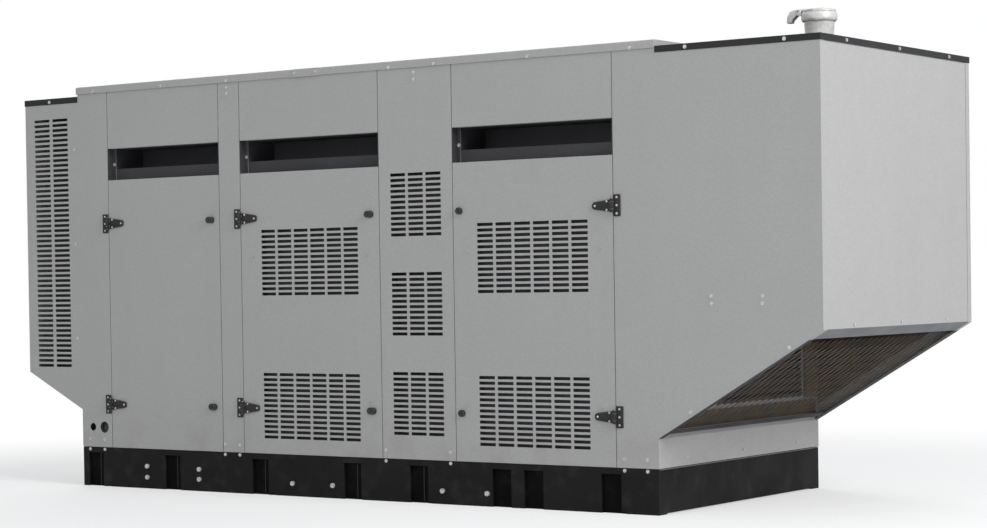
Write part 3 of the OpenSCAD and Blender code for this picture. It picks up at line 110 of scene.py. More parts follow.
class Finish(Nodes):
    """A material under construction. Its place is the piece's own Object coordinates."""

    def __init__(self, name):
        self.material = bpy.data.materials.new(name)
        self.material.use_nodes = True
        super().__init__(self.material.node_tree)
        self.shader = self.tree.nodes["Principled BSDF"]
        self.place = self.node("ShaderNodeTexCoord", output="Object")

    def set(self, **sockets):
        for name, value in sockets.items():
            self.put(self.shader.inputs[name.replace("_", " ")], value)

    def done(self, tone, rough, height, distance, strength=1.0, **sockets):
        """Sets the tone, the roughness and the relief, in mm, and gives the material."""
        relief = self.node("ShaderNodeBump", inputs={
            "Height": height, "Distance": distance * MM, "Strength": strength,
        })
        self.set(Base_Color=tone, Roughness=rough, Normal=relief, **sockets)
        return self.material

    def axis(self, letter):
        return self.node("ShaderNodeSeparateXYZ", inputs={"Vector": self.place}, output=letter)

    def stretched(self, x, y, z):
        return self.node("ShaderNodeMapping", inputs={"Vector": self.place, "Scale": (x, y, z)})

    def noise(self, scale, detail, place=None):
        return self.node("ShaderNodeTexNoise", inputs={
            "Vector": place or self.place, "Scale": scale, "Detail": detail,
        })

    def cells(self, scale):
        """One random value in each cell."""
        colour = self.node("ShaderNodeTexVoronoi", None, {"Vector": self.place, "Scale": scale}, "Color")
        return self.node("ShaderNodeSeparateColor", None, {"Color": colour}, "Red")

    def mix(self, factor, first, second):
        made = self.tree.nodes.new("ShaderNodeMix")
        made.data_type = "RGBA"
        for socket, value in ((made.inputs[0], factor), (made.inputs[6], first), (made.inputs[7], second)):
            self.put(socket, value)
        return Wire(self, made.outputs[2])


def shade(colour, factor):
    return tuple(min(1.0, c * factor) for c in colour)


# ---- Finishes ----------------------------------------------------------------

def coated(name, colour, rough, shine, tint=1.0, grain=240.0, spread=0.12, bump=0.25, metal=0.0, dust=0.0):
    """Paint, plastic or plain metal: cloudy at arm's length, grained close by, dusty where it lies flat."""
    finish = Finish(name)
    colour = shade(colour, tint)
    cloud = finish.noise(2.6, 4.0)
    speck = finish.noise(grain, 2.0)
    tone = finish.mix(cloud.ramp(0.3, 0.7), shade(colour, 1 - spread), shade(colour, 1 + spread))
    tone = finish.mix(speck.ramp(0.35, 0.65), finish.mix(0.5, tone, shade(colour, 1 - 2 * spread)), tone)
    if dust:
        normal = finish.node("ShaderNodeNewGeometry", output="Normal")
        upward = finish.node("ShaderNodeSeparateXYZ", inputs={"Vector": normal}, output="Z")
        settled = upward.ramp(0.3, 1.0) * finish.noise(14.0, 5.0).ramp(0.35, 0.75)
        tone = finish.mix(settled * dust, tone, DUST)
    rough = finish.noise(7.0, 4.0).ramp(0.25, 0.75, rough * 0.85, min(1.0, rough * 1.15))
    relief = speck * 0.7 + finish.noise(grain * 0.2, 2.0) * 0.3
    return finish.done(tone, rough, relief, bump, Metallic=metal, Specular_IOR_Level=shine)


def powder_coat(name, colour):
    """Grey powder coat of the enclosure: fine texture, faint rain streaks, road dust near its foot."""
    finish = Finish(name)
    height = finish.axis("Z")
    cloud = finish.noise(1.7, 3.0).ramp(0.3, 0.7)
    streak = finish.noise(9.0, 3.0, finish.stretched(1.0, 1.0, 0.06)).ramp(0.3, 0.7)
    grain = finish.noise(420.0, 2.0)
    tone = finish.mix(cloud * 0.5 + streak * 0.5, shade(colour, 0.96), shade(colour, 1.04))
    tone = finish.mix(grain.ramp(0.3, 0.7), shade(colour, 0.93), tone)
    mottle = finish.noise(130.0, 2.0).ramp(0.3, 0.7)
    tone = finish.mix(mottle * 0.6, tone, shade(colour, 0.85))
    foot = height.ramp(0.16, 0.42, 1.0, 0.0) * finish.noise(6.0, 5.0).ramp(0.4, 0.75)
    tone = finish.mix(foot * 0.3, tone, (0.20, 0.185, 0.165))
    rough = finish.noise(5.0, 4.0).ramp(0.3, 0.7, 0.5, 0.62)
    relief = grain * 0.8 + finish.noise(900.0, 1.0) * 0.2
    return finish.done(tone, rough, relief, 0.18, Specular_IOR_Level=0.3)


def base_coat(name, colour):
    """Black paint of the base, with a little dust in patches; painted shade darkens what lies behind the rails'
    faces.
    """
    finish = Finish(name)
    colour = shade(colour, 0.65)
    depth = finish.axis("Y").size()
    # Painted shade: darker and less shiny behind the outer faces of the side rails, in their flutes, short of the
    # end plates.
    behind = depth.ramp(0.648, 0.657, 1.0, 0.0) * (finish.axis("X").size() < 1.49)
    dust = finish.noise(14.0, 5.0).ramp(0.45, 0.8)
    grain = finish.noise(160.0, 2.0)
    tone = finish.mix(finish.noise(2.6, 4.0).ramp(0.3, 0.7), shade(colour, 0.85), shade(colour, 1.15))
    tone = finish.mix(grain.ramp(0.35, 0.65) * 0.4, tone, shade(colour, 0.6))
    tone = finish.mix(dust * 0.05, tone, DUST)
    # The painted shade in the recesses, from the mask above.
    tone = finish.mix(behind * 0.5, tone, shade(colour, 0.15))
    rough = finish.noise(7.0, 4.0).ramp(0.25, 0.75, 0.52, 0.7)
    return finish.done(tone, rough, grain, 0.25, Specular_IOR_Level=behind.ramp(0.0, 1.0, 0.1, 0.02))


def galvanised(name, colour):
    """Zinc with a soft spangle and a bloom of white rust."""
    finish = Finish(name)
    colour = shade(colour, 0.92)
    flake = finish.cells(70.0)
    bloom = finish.noise(18.0, 5.0).ramp(0.45, 0.75)
    tone = finish.mix(flake, shade(colour, 0.82), shade(colour, 1.08))
    tone = finish.mix(bloom * 0.5, tone, (0.58, 0.58, 0.56))
    rough = flake * 0.1 + bloom * 0.12 + 0.48
    return finish.done(tone, rough, flake, 0.15, Metallic=bloom.ramp(0.0, 1.0, 0.3, 0.1))


def scorched(name, colour, heat, cool_above=9.0):
    """Exhaust metal, browned and blued by heat, bright again where it comes out into the air."""
    finish = Finish(name)
    patch = finish.noise(5.5, 5.0).ramp(0.35, 0.7)
    scale = finish.noise(90.0, 4.0)
    tone = finish.mix(patch, colour, heat)
    tone = finish.mix(scale.ramp(0.55, 0.8) * 0.5, tone, shade(heat, 0.45))
    cool = finish.axis("Z").ramp(cool_above - 0.02, cool_above + 0.01)
    tone = finish.mix(cool, tone, (0.60, 0.60, 0.585))
    return finish.done(tone, scale * 0.3 + 0.42, scale, 0.5, Metallic=cool * -0.3 + 0.6)


def weathered_mesh(name, colour):
    """Expanded steel that has begun to rust."""
    finish = Finish(name)
    rust = finish.noise(9.0, 5.0).ramp(0.36, 0.62)
    pits = finish.noise(240.0, 3.0)
    tone = finish.mix(rust, shade(colour, 0.5), (0.10, 0.066, 0.040))
    tone = finish.mix(pits.ramp(0.5, 0.8), tone, shade(colour, 0.5))
    return finish.done(tone, rust * 0.25 + 0.5, pits, 0.2, Metallic=rust.ramp(0.0, 1.0, 0.35, 0.0))


def blotched(name, tones, patch, fine, rough, bump, **sockets):
    """Plain metal or rubber: blotches of a second tone (oil, bloom or dulled plate) over fine lines."""
    finish = Finish(name)
    scale, detail, low, high = patch
    blotch = finish.noise(scale, detail).ramp(low, high)
    scale, detail, *stretch = fine
    lines = finish.noise(scale, detail, finish.stretched(*stretch) if stretch else None)
    by_lines, by_blotch, least = rough
    rough = lines * by_lines + blotch * by_blotch + least
    return finish.done(finish.mix(blotch, *tones), rough, lines, bump, **sockets)


def bright_plate(name, colour):
    """Zinc plate on screws and pins."""
    tones = shade(colour, 0.8), shade(colour, 0.5)
    return blotched(name, tones, (60.0, 4.0, 0.45, 0.75), (420.0, 2.0), (0.12, 0.2, 0.36), 0.05, Metallic=0.45)


def machined(name, colour):
    """Turned steel with an oil film."""
    return blotched(name, (colour, shade(colour, 0.55)), (12.0, 4.0, 0.4, 0.7), (5.0, 3.0, 90.0, 1.0, 1.0),
                    (0.15, 0.12, 0.2), 0.1, Metallic=0.95)


def rubber(name, colour):
    """Moulded rubber with a grey bloom."""
    return blotched(name, (colour, shade(colour, 2.4)), (20.0, 4.0, 0.4, 0.8), (500.0, 2.0),
                    (0.1, 0.0, 0.72), 0.1, Specular_IOR_Level=0.3)


def finned(name, colour):
    """Radiator black, with the core's upright tubes and close fins between the two tanks; the gaps between the
    tube and fin lines are painted darker as shade in the core's depth.
    """
    finish = Finish(name)
    across, height = finish.axis("Y"), finish.axis("Z")
    inside = (across.size() < 0.505) * (height > 0.412) * (height < 1.418)
    tubes = (across * 100.0).math("PINGPONG", across * 100.0, 0.5).ramp(0.08, 0.2)
    fins = (height * 320.0).math("PINGPONG", height * 320.0, 0.5).ramp(0.1, 0.4)
    dirt = finish.noise(6.0, 5.0).ramp(0.4, 0.75)
    # Painted shade: the gaps between the tube and fin lines are darker, while the lines keep the lighter tone of
    # the tanks.
    tone = finish.mix(tubes * fins * inside, shade(colour, 1.5), shade(colour, 0.35))
    tone = finish.mix(dirt * 0.4, tone, (0.09, 0.08, 0.065))
    relief = (tubes * 0.6 + fins * 0.4) * inside * -1.0 + 1.0
    return finish.done(tone, dirt * 0.2 + 0.5, relief, 1.2, 0.6, Specular_IOR_Level=0.3)


RECORD = frame["record"]
COLOURS = {m["slot"]: tuple(m["base_color"]) for m in RECORD["materials"]}
SLOT_OF = {part["node"]: part["material_slot"] for part in RECORD["subparts"]}

OWN_FINISHES = {
    "enclosure_paint": powder_coat,
    "base_black": base_coat,
    "galvanised_steel": galvanised,
    "bright_steel": bright_plate,
    "machined_steel": machined,
    "screen_steel": weathered_mesh,
    "black_rubber": rubber,
    "radiator_black": finned,
    "exhaust_steel": lambda name, colour: scorched(name, colour, (0.30, 0.22, 0.15), 1.78),
    "cast_manifold": lambda name, colour: scorched(name, colour, (0.20, 0.09, 0.04)),
}
COATED = {  # roughness and shine, and what else differs from plain paint
    "duct_black": (0.6, 0.15, dict(tint=1.5, spread=0.15, dust=0.3)),
    "trim_dark": (0.65, 0.08, dict(tint=0.75, spread=0.1)),
    "hinge_dark": (0.55, 0.15, dict(tint=0.65, grain=320.0, bump=0.2)),
    "engine_paint": (0.42, 0.5, dict(grain=190.0, bump=0.5, dust=0.25)),
    "engine_black": (0.45, 0.4, dict(dust=0.3)),
    "cast_aluminium": (0.5, 0.5, dict(grain=260.0, bump=0.45, metal=0.7)),
    "cabinet_paint": (0.5, 0.35, dict(grain=420.0, spread=0.03)),
    "breaker_paint": (0.5, 0.35, dict(grain=420.0, spread=0.06)),
    "battery_plastic": (0.5, 0.4, dict(grain=600.0, dust=0.4)),
    "gas_pipe_paint": (0.42, 0.5, dict(spread=0.1, dust=0.2)),
    "fan_plastic": (0.55, 0.4, dict(grain=500.0)),
    "stop_red": (0.3, 0.5, dict(grain=700.0, spread=0.05, bump=0.05)),
    "handle_black": (0.45, 0.4, dict(grain=700.0, bump=0.1)),
    "latch_black": (0.4, 0.45, dict(grain=700.0, bump=0.1)),
}


def finish_for(slot, colour):
    if slot in OWN_FINISHES:
        return OWN_FINISHES[slot](slot, colour)
    rough, shine, others = COATED[slot]
    return coated(slot, colour, rough, shine, **others)


FINISHES = {slot: finish_for(slot, colour) for slot, colour in COLOURS.items()}


def wear(piece, slot):
    """Gives a piece the finish of one of the record's slots."""
    piece.data.materials.clear()
    piece.data.materials.append(FINISHES[slot])
    return piece


for node_name, node in frame["nodes"].items():
    wear(node, SLOT_OF[node_name])





# ---- Places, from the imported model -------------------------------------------

JOINTS = RECORD["behaviour"]["joints"]
PIVOTS = {joint["name"]: Vector(joint["pos_m"]) for joint in JOINTS if "pos_m" in joint}
LATCHES = [name for name in frame["nodes"] if name.startswith("latch_")]
DOORS = ["control_door", "front_door_2", "front_door_3", "rear_door_2", "rear_door_3"]
HINGE_ROWS = sorted({round(PIVOTS[name + "_turn"].z, 4) for name in LATCHES})
HALF_W = abs(PIVOTS["latch_control_low_turn"].y)
SIDES = ((-1, "near"), (1, "far"))
SHEET = 0.002
LINING_GAP = 0.0008
INNER = HALF_W - SHEET - LINING_GAP
CLEAR = 0.0002
DOUBLED = 0.00002
TURNED_SIDES = 64
FLOOR_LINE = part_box("base_rails")[1].z


def side_of(name):
    """-1 for the control side and 1 for the far side."""
    return 1 if name.startswith(("rear", "latch_rear")) else -1


def opens_left(door):
    """1 where the hinges are at the door's left edge, -1 at its right edge, seen on the control side."""
    low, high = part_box(door)
    return 1 if PIVOTS[door + "_swing"].x < (low.x + high.x) / 2 else -1


# ---- Modelling ---------------------------------------------------------------

def put_down():
    if bpy.context.mode != "OBJECT":
        bpy.ops.object.mode_set(mode="OBJECT")
    bpy.ops.object.select_all(action="DESELECT")


def pick_up(*pieces):
    put_down()
    for piece in pieces:
        piece.select_set(True)
    bpy.context.view_layer.objects.active = pieces[0]


def started(name):
    """Names the new piece and bakes its place into its mesh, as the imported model's own nodes have it."""
    piece = bpy.context.active_object
    piece.name = piece.data.name = name
    pick_up(piece)
    bpy.ops.object.transform_apply(location=True, rotation=True, scale=True)
    return piece


def block(name, low, high):
    low, high = Vector(low), Vector(high)
    put_down()
    bpy.ops.mesh.primitive_cube_add(size=1, location=(low + high) / 2)
    bpy.context.active_object.scale = high - low
    return started(name)


def bar(name, start, end, radius, sides=32):
    start, end = Vector(start), Vector(end)
    run = end - start
    put_down()
    bpy.ops.mesh.primitive_cylinder_add(
        vertices=sides, radius=radius, depth=run.length, location=(start + end) / 2,
        rotation=run.to_track_quat("Z", "Y").to_euler(),
    )
    return started(name)


def flat(name, low, high, z):
    """A flat plate at a level in the XY plane."""
    put_down()
    bpy.ops.mesh.primitive_plane_add(size=1, location=((low[0] + high[0]) / 2, (low[1] + high[1]) / 2, z))
    bpy.context.active_object.scale = (high[0] - low[0], high[1] - low[1], 1)
    return started(name)


def facing(x=0, y=0, z=0):
    """A test for the faces that look along one direction."""
    along = Vector((x, y, z))
    return lambda centre, normal: normal.dot(along) > 0.9


FRONT, TOP, RIGHT, LEFT = facing(y=-1), facing(z=1), facing(x=1), facing(x=-1)


def choose(piece, test, kind="FACE"):
    """Opens the piece for editing, with only the faces or points that pass the test selected."""
    pick_up(piece)
    bpy.ops.object.mode_set(mode="EDIT")
    bpy.ops.mesh.select_mode(type=kind)
    bpy.ops.mesh.select_all(action="DESELECT")
    bpy.ops.object.mode_set(mode="OBJECT")
    if kind == "FACE":
        for face in piece.data.polygons:
            face.select = test(face.center, face.normal)
    else:
        for point in piece.data.vertices:
            point.select = test(point.co)
    bpy.ops.object.mode_set(mode="EDIT")


def choose_all(piece):
    """Opens the piece for editing, with all of it selected."""
    pick_up(piece)
    bpy.ops.object.mode_set(mode="EDIT")
    bpy.ops.mesh.select_all(action="SELECT")


def scaled(piece, test, value, centre):
    """Scales the chosen faces about a point."""
    choose(piece, test)
    bpy.ops.transform.resize(value=value, center_override=centre)
    put_down()
    return piece


def hollowed(piece, edge):
    """Leaves only a border of each face of a flat piece."""
    choose(piece, lambda centre, normal: True)
    bpy.ops.mesh.inset(thickness=edge, use_even_offset=True)
    bpy.ops.mesh.delete(type="FACE")
    put_down()
    return piece


def sunk(piece, test, margin, depth):
    """Insets the chosen faces and pushes them in, or out where depth is negative."""
    choose(piece, test)
    bpy.ops.mesh.inset(thickness=margin, depth=0, use_even_offset=True)
    bpy.ops.mesh.extrude_region_shrink_fatten(TRANSFORM_OT_shrink_fatten={"value": -depth})
    put_down()
    return piece


def moved_points(piece, test, shift):
    choose(piece, test, "VERT")
    bpy.ops.transform.translate(value=shift)
    put_down()
    return piece


def smooth(piece, angle=40):
    pick_up(piece)
    bpy.ops.object.shade_smooth_by_angle(angle=math.radians(angle))
    put_down()
    return piece


def modified(piece, kind, **settings):
    """Applies one modifier to the piece."""
    pick_up(piece)
    change = piece.modifiers.new("change", kind)
    for name, value in settings.items():
        setattr(change, name, value)
    bpy.ops.object.modifier_apply(modifier=change.name)
    put_down()
    return piece


def eased(piece, width, steps=2, angle=32):
    """Rounds the piece's corners, as casting, pressing or folding leaves them."""
    return smooth(modified(piece, "BEVEL", width=width, segments=steps, limit_method="ANGLE",
                           angle_limit=math.radians(angle)))


def row(piece, count, step):
    """The piece repeated in a line, as one mesh."""
    return modified(piece, "ARRAY", count=count, use_relative_offset=False, use_constant_offset=True,
                    constant_offset_displace=step)


def thickened(piece, depth):
    return modified(piece, "SOLIDIFY", thickness=depth, offset=0)


def slab(name, low, high, ease, steps=2):
    """A block with rounded corners."""
    return eased(block(name, low, high), ease, steps)


def rod(name, start, end, radius, sides, ease, steps=2):
    """A round or hexagonal bar with rounded rims."""
    return eased(bar(name, start, end, radius, sides), ease, steps)


def turned(name, profile, centre):
    """A closed (radius, height) profile spun round a vertical line through the centre."""
    put_down()
    bpy.ops.mesh.primitive_circle_add(vertices=len(profile), radius=1, fill_type="NGON")
    piece = started(name)
    for point, (radius, height) in zip(piece.data.vertices, profile):
        point.co = Vector(centre) + Vector((radius, 0, height))
    choose_all(piece)
    bpy.ops.mesh.spin(steps=TURNED_SIDES, angle=2 * math.pi, center=centre, axis=(0, 0, 1))
    return closed(piece)


def closed(piece):
    """Merges doubled points and turns all faces outwards."""
    choose_all(piece)
    bpy.ops.mesh.remove_doubles(threshold=DOUBLED)
    bpy.ops.mesh.normals_make_consistent(inside=False)
    put_down()
    return piece


def mirrored(piece, axis):
    piece.data.transform(Matrix.Scale(-1, 4, Vector(axis)))
    piece.data.flip_normals()
    return piece


def copied(piece, shift=(0, 0, 0), turn=None):
    """A copy with its own mesh, turned and then shifted."""
    other = piece.copy()
    other.data = piece.data.copy()
    bpy.context.scene.collection.objects.link(other)
    if turn is not None:
        other.data.transform(turn)
    other.data.transform(Matrix.Translation(Vector(shift)))
    return other


def discard(*patterns):
    for pattern in patterns:
        bpy.data.objects.remove(pattern)


def joined(name, pieces):
    pick_up(*pieces)
    if len(pieces) > 1:
        bpy.ops.object.join()
    piece = bpy.context.active_object
    piece.name = piece.data.name = name
    put_down()
    return piece


def fit(name, parts, slot, body="enclosure", *stands_for):
    """Joins the parts into one piece, with its material, its body and the nodes it stands for."""
    piece = wear(joined(name, parts), slot)
    if stands_for:
        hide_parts(*stands_for)
    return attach(piece, body)


def hex_screw(name, place, outward, radius, height):
    """A flanged hexagon screw head standing on a face."""
    place, outward = Vector(place), Vector(outward)
    head = rod(name, place, place + outward * height, radius, 6, radius * 0.12, 1)
    flange = rod(name, place, place + outward * height * 0.3, radius * 1.25, 20, radius * 0.08, 1)
    return joined(name, [head, flange])


def screws(name, places, outward, radius, height):
    return [hex_screw(name, place, outward, radius, height) for place in places]


def corners(xs, y, zs):
    return [(x, y, z) for x in xs for z in zs]


# ---- Discharge hood ----------------------------------------------------------

def outlet_place():
    """The frame of the hood's sloping outlet: X up the slope from its foot, Z into the hood."""
    low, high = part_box("discharge_hood_sides")
    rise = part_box("discharge_hood_end")[0].z - SHEET - low.z
    run = high.x - low.x
    slope = math.atan2(rise, run)
    return Matrix.Translation((low.x, 0, low.z)) @ Matrix.Rotation(-slope, 4, "Y"), math.hypot(run, rise)


def expanded_screen():
    """Expanded steel net in a folded frame on the outlet's flanges, a head flange painted darker as shade on the
    hood's grey paint, and dark strips along the side edges as painted shade on the flanges' undersides.
    """
    place, length = outlet_place()
    half, margin, edge, deep = HALF_W - 0.004, 0.026, 0.030, 0.003
    level = 0.0023 + deep / 2
    long, short, strand, wire = 0.140, 0.050, 0.003, 0.0016
    put_down()
    bpy.ops.mesh.primitive_circle_add(vertices=4, radius=0.5, fill_type="NGON")
    bpy.context.active_object.scale = (long, short, 1)
    net = hollowed(started("outlet_net"), strand)
    net = joined("outlet_net", [net, copied(net, (long / 2, short / 2, 0))])
    columns = int((length - 2 * margin) / long - 0.5)
    lines = int(2 * half / short - 0.5)
    row(row(net, columns, (long, 0, 0)), lines, (0, short, 0))
    net.data.transform(Matrix.Translation((
        length / 2 - (columns - 0.5) * long / 2, -(lines - 0.5) * short / 2, level,
    )))
    thickened(closed(net), wire)

    border = hollowed(flat("outlet_screen_frame", (margin, -half), (length - margin, half), level), edge)
    eased(thickened(border, deep), 0.0008, 1)

    fold, reach = 0.0004, 0.628
    # The head flange is the hood's grey paint in shade: it wears the darker breaker paint as painted shade.
    flange = flat("outlet_head_flange", (length - 0.066, -reach), (length - 0.001, reach), 0.0011)
    eased(thickened(flange, wire), fold, 1)

    # Dark strips along both side edges: painted shade on the undersides of the flanges there.
    strip_y, strip_half = 0.6445, 0.0145
    shade_strips = []
    for y in (-strip_y, strip_y):
        shade_strip = flat("outlet_shade_strip", (0.004, y - strip_half), (length - 0.068, y + strip_half), -0.0008)
        shade_strips.append(eased(thickened(shade_strip, 0.0012), fold, 1))
    shade_strips = joined("outlet_edge_shade_strips", shade_strips)

    # The head flange and the edge strips carry painted shade in their finishes.
    for piece, slot, node in (
        (net, "screen_steel", ["discharge_screen"]), (border, "duct_black", []),
        (flange, "breaker_paint", []), (shade_strips, "duct_black", []),
    ):
        piece.data.transform(place)
        fit(piece.name, [piece], slot, "enclosure", *node)


def hood_lining():
    """Faced sound boards held by battens inside the discharge hood and round the radiator's opening; their dark
    rusty screen finish is painted shade inside the hood.
    """
    low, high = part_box("discharge_hood_sides")
    radiator_low, radiator_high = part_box("radiator")
    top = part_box("discharge_hood_cap")[0].z - 0.03
    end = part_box("discharge_hood_end")[0]
    left, right = low.x + 0.012, end.x - 0.016
    board_deep, batten_half = 0.022, 0.016

    def slope(x, clear):
        return low.z + clear + (end.z - low.z) / (high.x - low.x) * (x - low.x)

    outline = [(left, slope(left, 0.06)), (right, slope(right, 0.06)), (right, top), (left, top)]
    for side, name in SIDES:
        face = side * (INNER - board_deep)
        parts = [eased(cut_out("lining", outline, *sorted((side * INNER, face))), 0.006, 3)]
        low_y, high_y = sorted((side * (INNER - board_deep + 0.002), side * (INNER - board_deep - 0.0025)))
        for x in (left + 0.16, right - 0.16):
            parts.append(slab("batten", (x - batten_half, low_y, slope(x, 0.09)),
                              (x + batten_half, high_y, top - 0.02), 0.001))
        # The boards wear the dark screen finish as painted shade inside the hood.
        fit("hood_lining_" + name, parts, "screen_steel")

    wall = radiator_high.x + 2 * SHEET
    sill, lintel = radiator_low.z + 0.05, radiator_high.z - 0.06
    jamb, out, thin, thick = 0.53, 0.63, 0.006, 0.014
    surround = []
    for low_y, high_y, low_z, high_z, deep in (
        (-out, out, low.z + 0.03, sill, thin), (-out, out, lintel, top, thick),
        (-out, -jamb, sill + 0.01, lintel - 0.006, thick), (jamb, out, sill + 0.01, lintel - 0.006, thick),
    ):
        board = block("surround", (wall + 0.0008, low_y, low_z), (wall + deep, high_y, high_z))
        surround.append(eased(sunk(board, RIGHT, 0.02, -0.001), 0.002))
    # Painted shade: the dark screen finish darkens the end wall round the radiator's opening.
    fit("radiator_surround", surround, "screen_steel")

    board = block("hood_lining_end", (end.x - 0.0148, -INNER + 0.03, slope(right, 0.07)),
                  (end.x - 0.0008, INNER - 0.03, top))
    # Painted shade: the dark screen finish darkens the hood's end wall.
    fit("hood_lining_end", [eased(sunk(board, LEFT, 0.02, -0.008), 0.005, 3)], "screen_steel")


# ---- Rain cap ----------------------------------------------------------------

def cut_out(name, outline, low_y, high_y):
    """A plate cut to an (X, Z) outline, between two places across Y."""
    put_down()
    bpy.ops.mesh.primitive_circle_add(vertices=len(outline), radius=1, fill_type="NGON")
    piece = started(name)
    for point, (x, z) in zip(piece.data.vertices, outline):
        point.co = (x, low_y, z)
    choose_all(piece)
    bpy.ops.mesh.extrude_region_move(TRANSFORM_OT_translate={"value": (0, high_y - low_y, 0)})
    return closed(piece)


def rain_collar(pin, middle, mouth):
    """A banded collar on a flared sleeve, with ears for the flap's pin and a clamping lug."""
    low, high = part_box("stack_collar")
    foot, rim, bore = low.z, 0.070, 0.05105
    sleeve_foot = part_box("discharge_hood_cap")[1].z + 0.004
    parts = [smooth(turned("rain_collar", [
        (bore, sleeve_foot), (bore + 0.0012, sleeve_foot), (rim - 0.011, foot - 0.003), (rim - 0.010, foot),
        (rim - 0.004, foot + 0.0008), (rim - 0.0008, foot + 0.006), (rim, foot + 0.012),
        (rim, mouth - 0.014), (rim - 0.0015, mouth - 0.007), (rim - 0.0045, mouth - 0.001),
        (rim - 0.006, mouth), (bore, mouth),
    ], (middle, 0, 0)))]
    for y in (-0.0165, 0.0165):
        ear = block("rain_ear", (pin.x - 0.008, y - 0.0025, mouth - 0.012),
                    (middle - 0.0692, y + 0.0025, pin.z + 0.008))
        moved_points(ear, lambda p: p.x < pin.x and p.z < pin.z, (0.004, 0, 0.003))
        parts.append(eased(ear, 0.0018, 3))
    parts.append(slab("clamp_lug", (middle - 0.006, 0.062, mouth - 0.032),
                      (middle + 0.006, high.y, mouth - 0.012), 0.002))
    bolt_y, bolt_z = high.y - 0.011, mouth - 0.022
    parts.append(rod("clamp_bolt", (middle - 0.014, bolt_y, bolt_z), (middle + 0.018, bolt_y, bolt_z),
                     0.005, 6, 0.0006, 1))
    fit("rain_collar", parts, "galvanised_steel", "enclosure", "stack_collar")


def rain_cap():
    """The collar on the stack, and its domed flap with a hooked counterweight."""
    pin = PIVOTS["rain_flap_lift"]
    disc, mouth = 0.065, pin.z - 0.008
    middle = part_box("rain_flap")[1].x - disc
    rain_collar(pin, middle, mouth)
    lid = smooth(turned("rain_flap_lid", [
        (0.0, mouth + 0.0004), (disc - 0.001, mouth + 0.0004), (disc, mouth + 0.0014),
        (disc, mouth + 0.0076), (disc - 0.002, mouth + 0.0092), (disc - 0.014, mouth + 0.0110),
        (disc - 0.030, mouth + 0.0126), (disc - 0.050, mouth + 0.0140), (0.0, mouth + 0.0144),
    ], (middle, 0, 0)))
    strap = slab("flap_strap", (pin.x - 0.010, -0.0115, mouth + 0.0082),
                 (middle + 0.02, 0.0115, mouth + 0.0157), 0.0012)
    arm_half = 0.0134
    hook = cut_out("flap_hook", [(pin.x + x, pin.z + z) for x, z in (
        (0.006, 0.0076), (-0.014, 0.0078), (-0.028, 0.0058), (-0.040, 0.0000), (-0.048, -0.0110),
        (-0.0520, -0.0270), (-0.0525, -0.0430), (-0.0300, -0.0436), (-0.0300, -0.0360),
        (-0.0225, -0.0275), (-0.0120, -0.0190), (-0.0040, -0.0120), (0.006, -0.0070),
    )], -arm_half, arm_half)
    barrel = rod("flap_barrel", (pin.x, -0.0136, pin.z), (pin.x, 0.0136, pin.z), 0.008, 32, 0.0008)
    parts = [lid, strap, eased(hook, 0.0035, 3, 24), barrel]
    fit("rain_flap_lid", parts, "galvanised_steel", "rain_flap", "rain_flap")


# ---- Door furniture ----------------------------------------------------------

def latch_knob(name, wing):
    """A knob on a spindle, drawn out sideways by its wings, at the origin and facing -Y."""
    gap, thick, bead = 0.0003, 0.014, 0.004
    face, reach = -gap - thick, wing + 0.006
    knob = bar("knob", (0, face, 0), (0, -gap, 0), 0.014, 40)
    for side in (1, -1):
        moved_points(knob, lambda p: p.x * side > 0.0001, (side * wing, 0, 0))
    sunk(knob, FRONT, 0.0042, 0.0022)
    return joined(name, [
        eased(knob, 0.0022, 3),
        slab("grip", (-reach, face, -0.0035), (reach, face + bead, 0.0035), 0.0016, 3),
        rod("boss", (0, face, 0), (0, face + bead, 0), 0.0062, 24, 0.0008),
        rod("spindle", (0, -gap - 0.001, 0), (0, 0.0405, 0), 0.00895, 24, 0.0006, 1),
    ])


def on_side(piece, side, place):
    """Moves a piece modelled for the control side to its place, mirrored on the far side."""
    if side > 0:
        mirrored(piece, (0, 1, 0))
    piece.data.transform(Matrix.Translation(Vector(place)))
    return piece


def latches():
    """A knob outside and a cam inside for each latch; those of the third doors are round."""
    oval, plain = latch_knob("oval_knob", 0.0065), latch_knob("round_knob", 0)
    thick, narrow = 0.004, 0.003
    for name in LATCHES:
        low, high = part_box(name)
        centre = PIVOTS[name + "_turn"]
        cam_y = HALF_W - min(abs(low.y), abs(high.y)) - thick
        cam = block("cam", (-0.010, cam_y, -0.011), (0.010, cam_y + thick, high.z - centre.z))
        for side in (1, -1):
            moved_points(cam, lambda p: p.z > 0 and p.x * side > 0, (-side * narrow, 0, 0))
        nut = rod("cam_nut", (0, cam_y - thick, 0), (0, cam_y, 0), 0.0088, 6, 0.0006, 1)
        knob = copied(plain if "_3_" in name else oval)
        place = (centre.x, side_of(name) * HALF_W, centre.z)
        parts = [on_side(part, side_of(name), place) for part in (knob, eased(cam, 0.0012), nut)]
        fit(name + "_knob", parts, "latch_black", name, name)
    discard(oval, plain)


def leaf_pattern():
    """The fixed leaf of a hinge, its axis at the origin, running to -X, facing -Y."""
    parts = [slab("leaf", (-0.034, 0.003, -0.042), (-0.002, 0.009, 0.042), 0.0028, 3)]
    for foot in (-0.027, 0.0142):
        head = foot + 0.0128
        parts.append(rod("knuckle", (0, 0, foot), (0, 0, head), 0.008, 28, 0.001))
        parts.append(slab("web", (-0.007, -0.002, foot), (0.0, 0.0035, head), 0.0008, 1))
    return joined("leaf_pattern", parts)


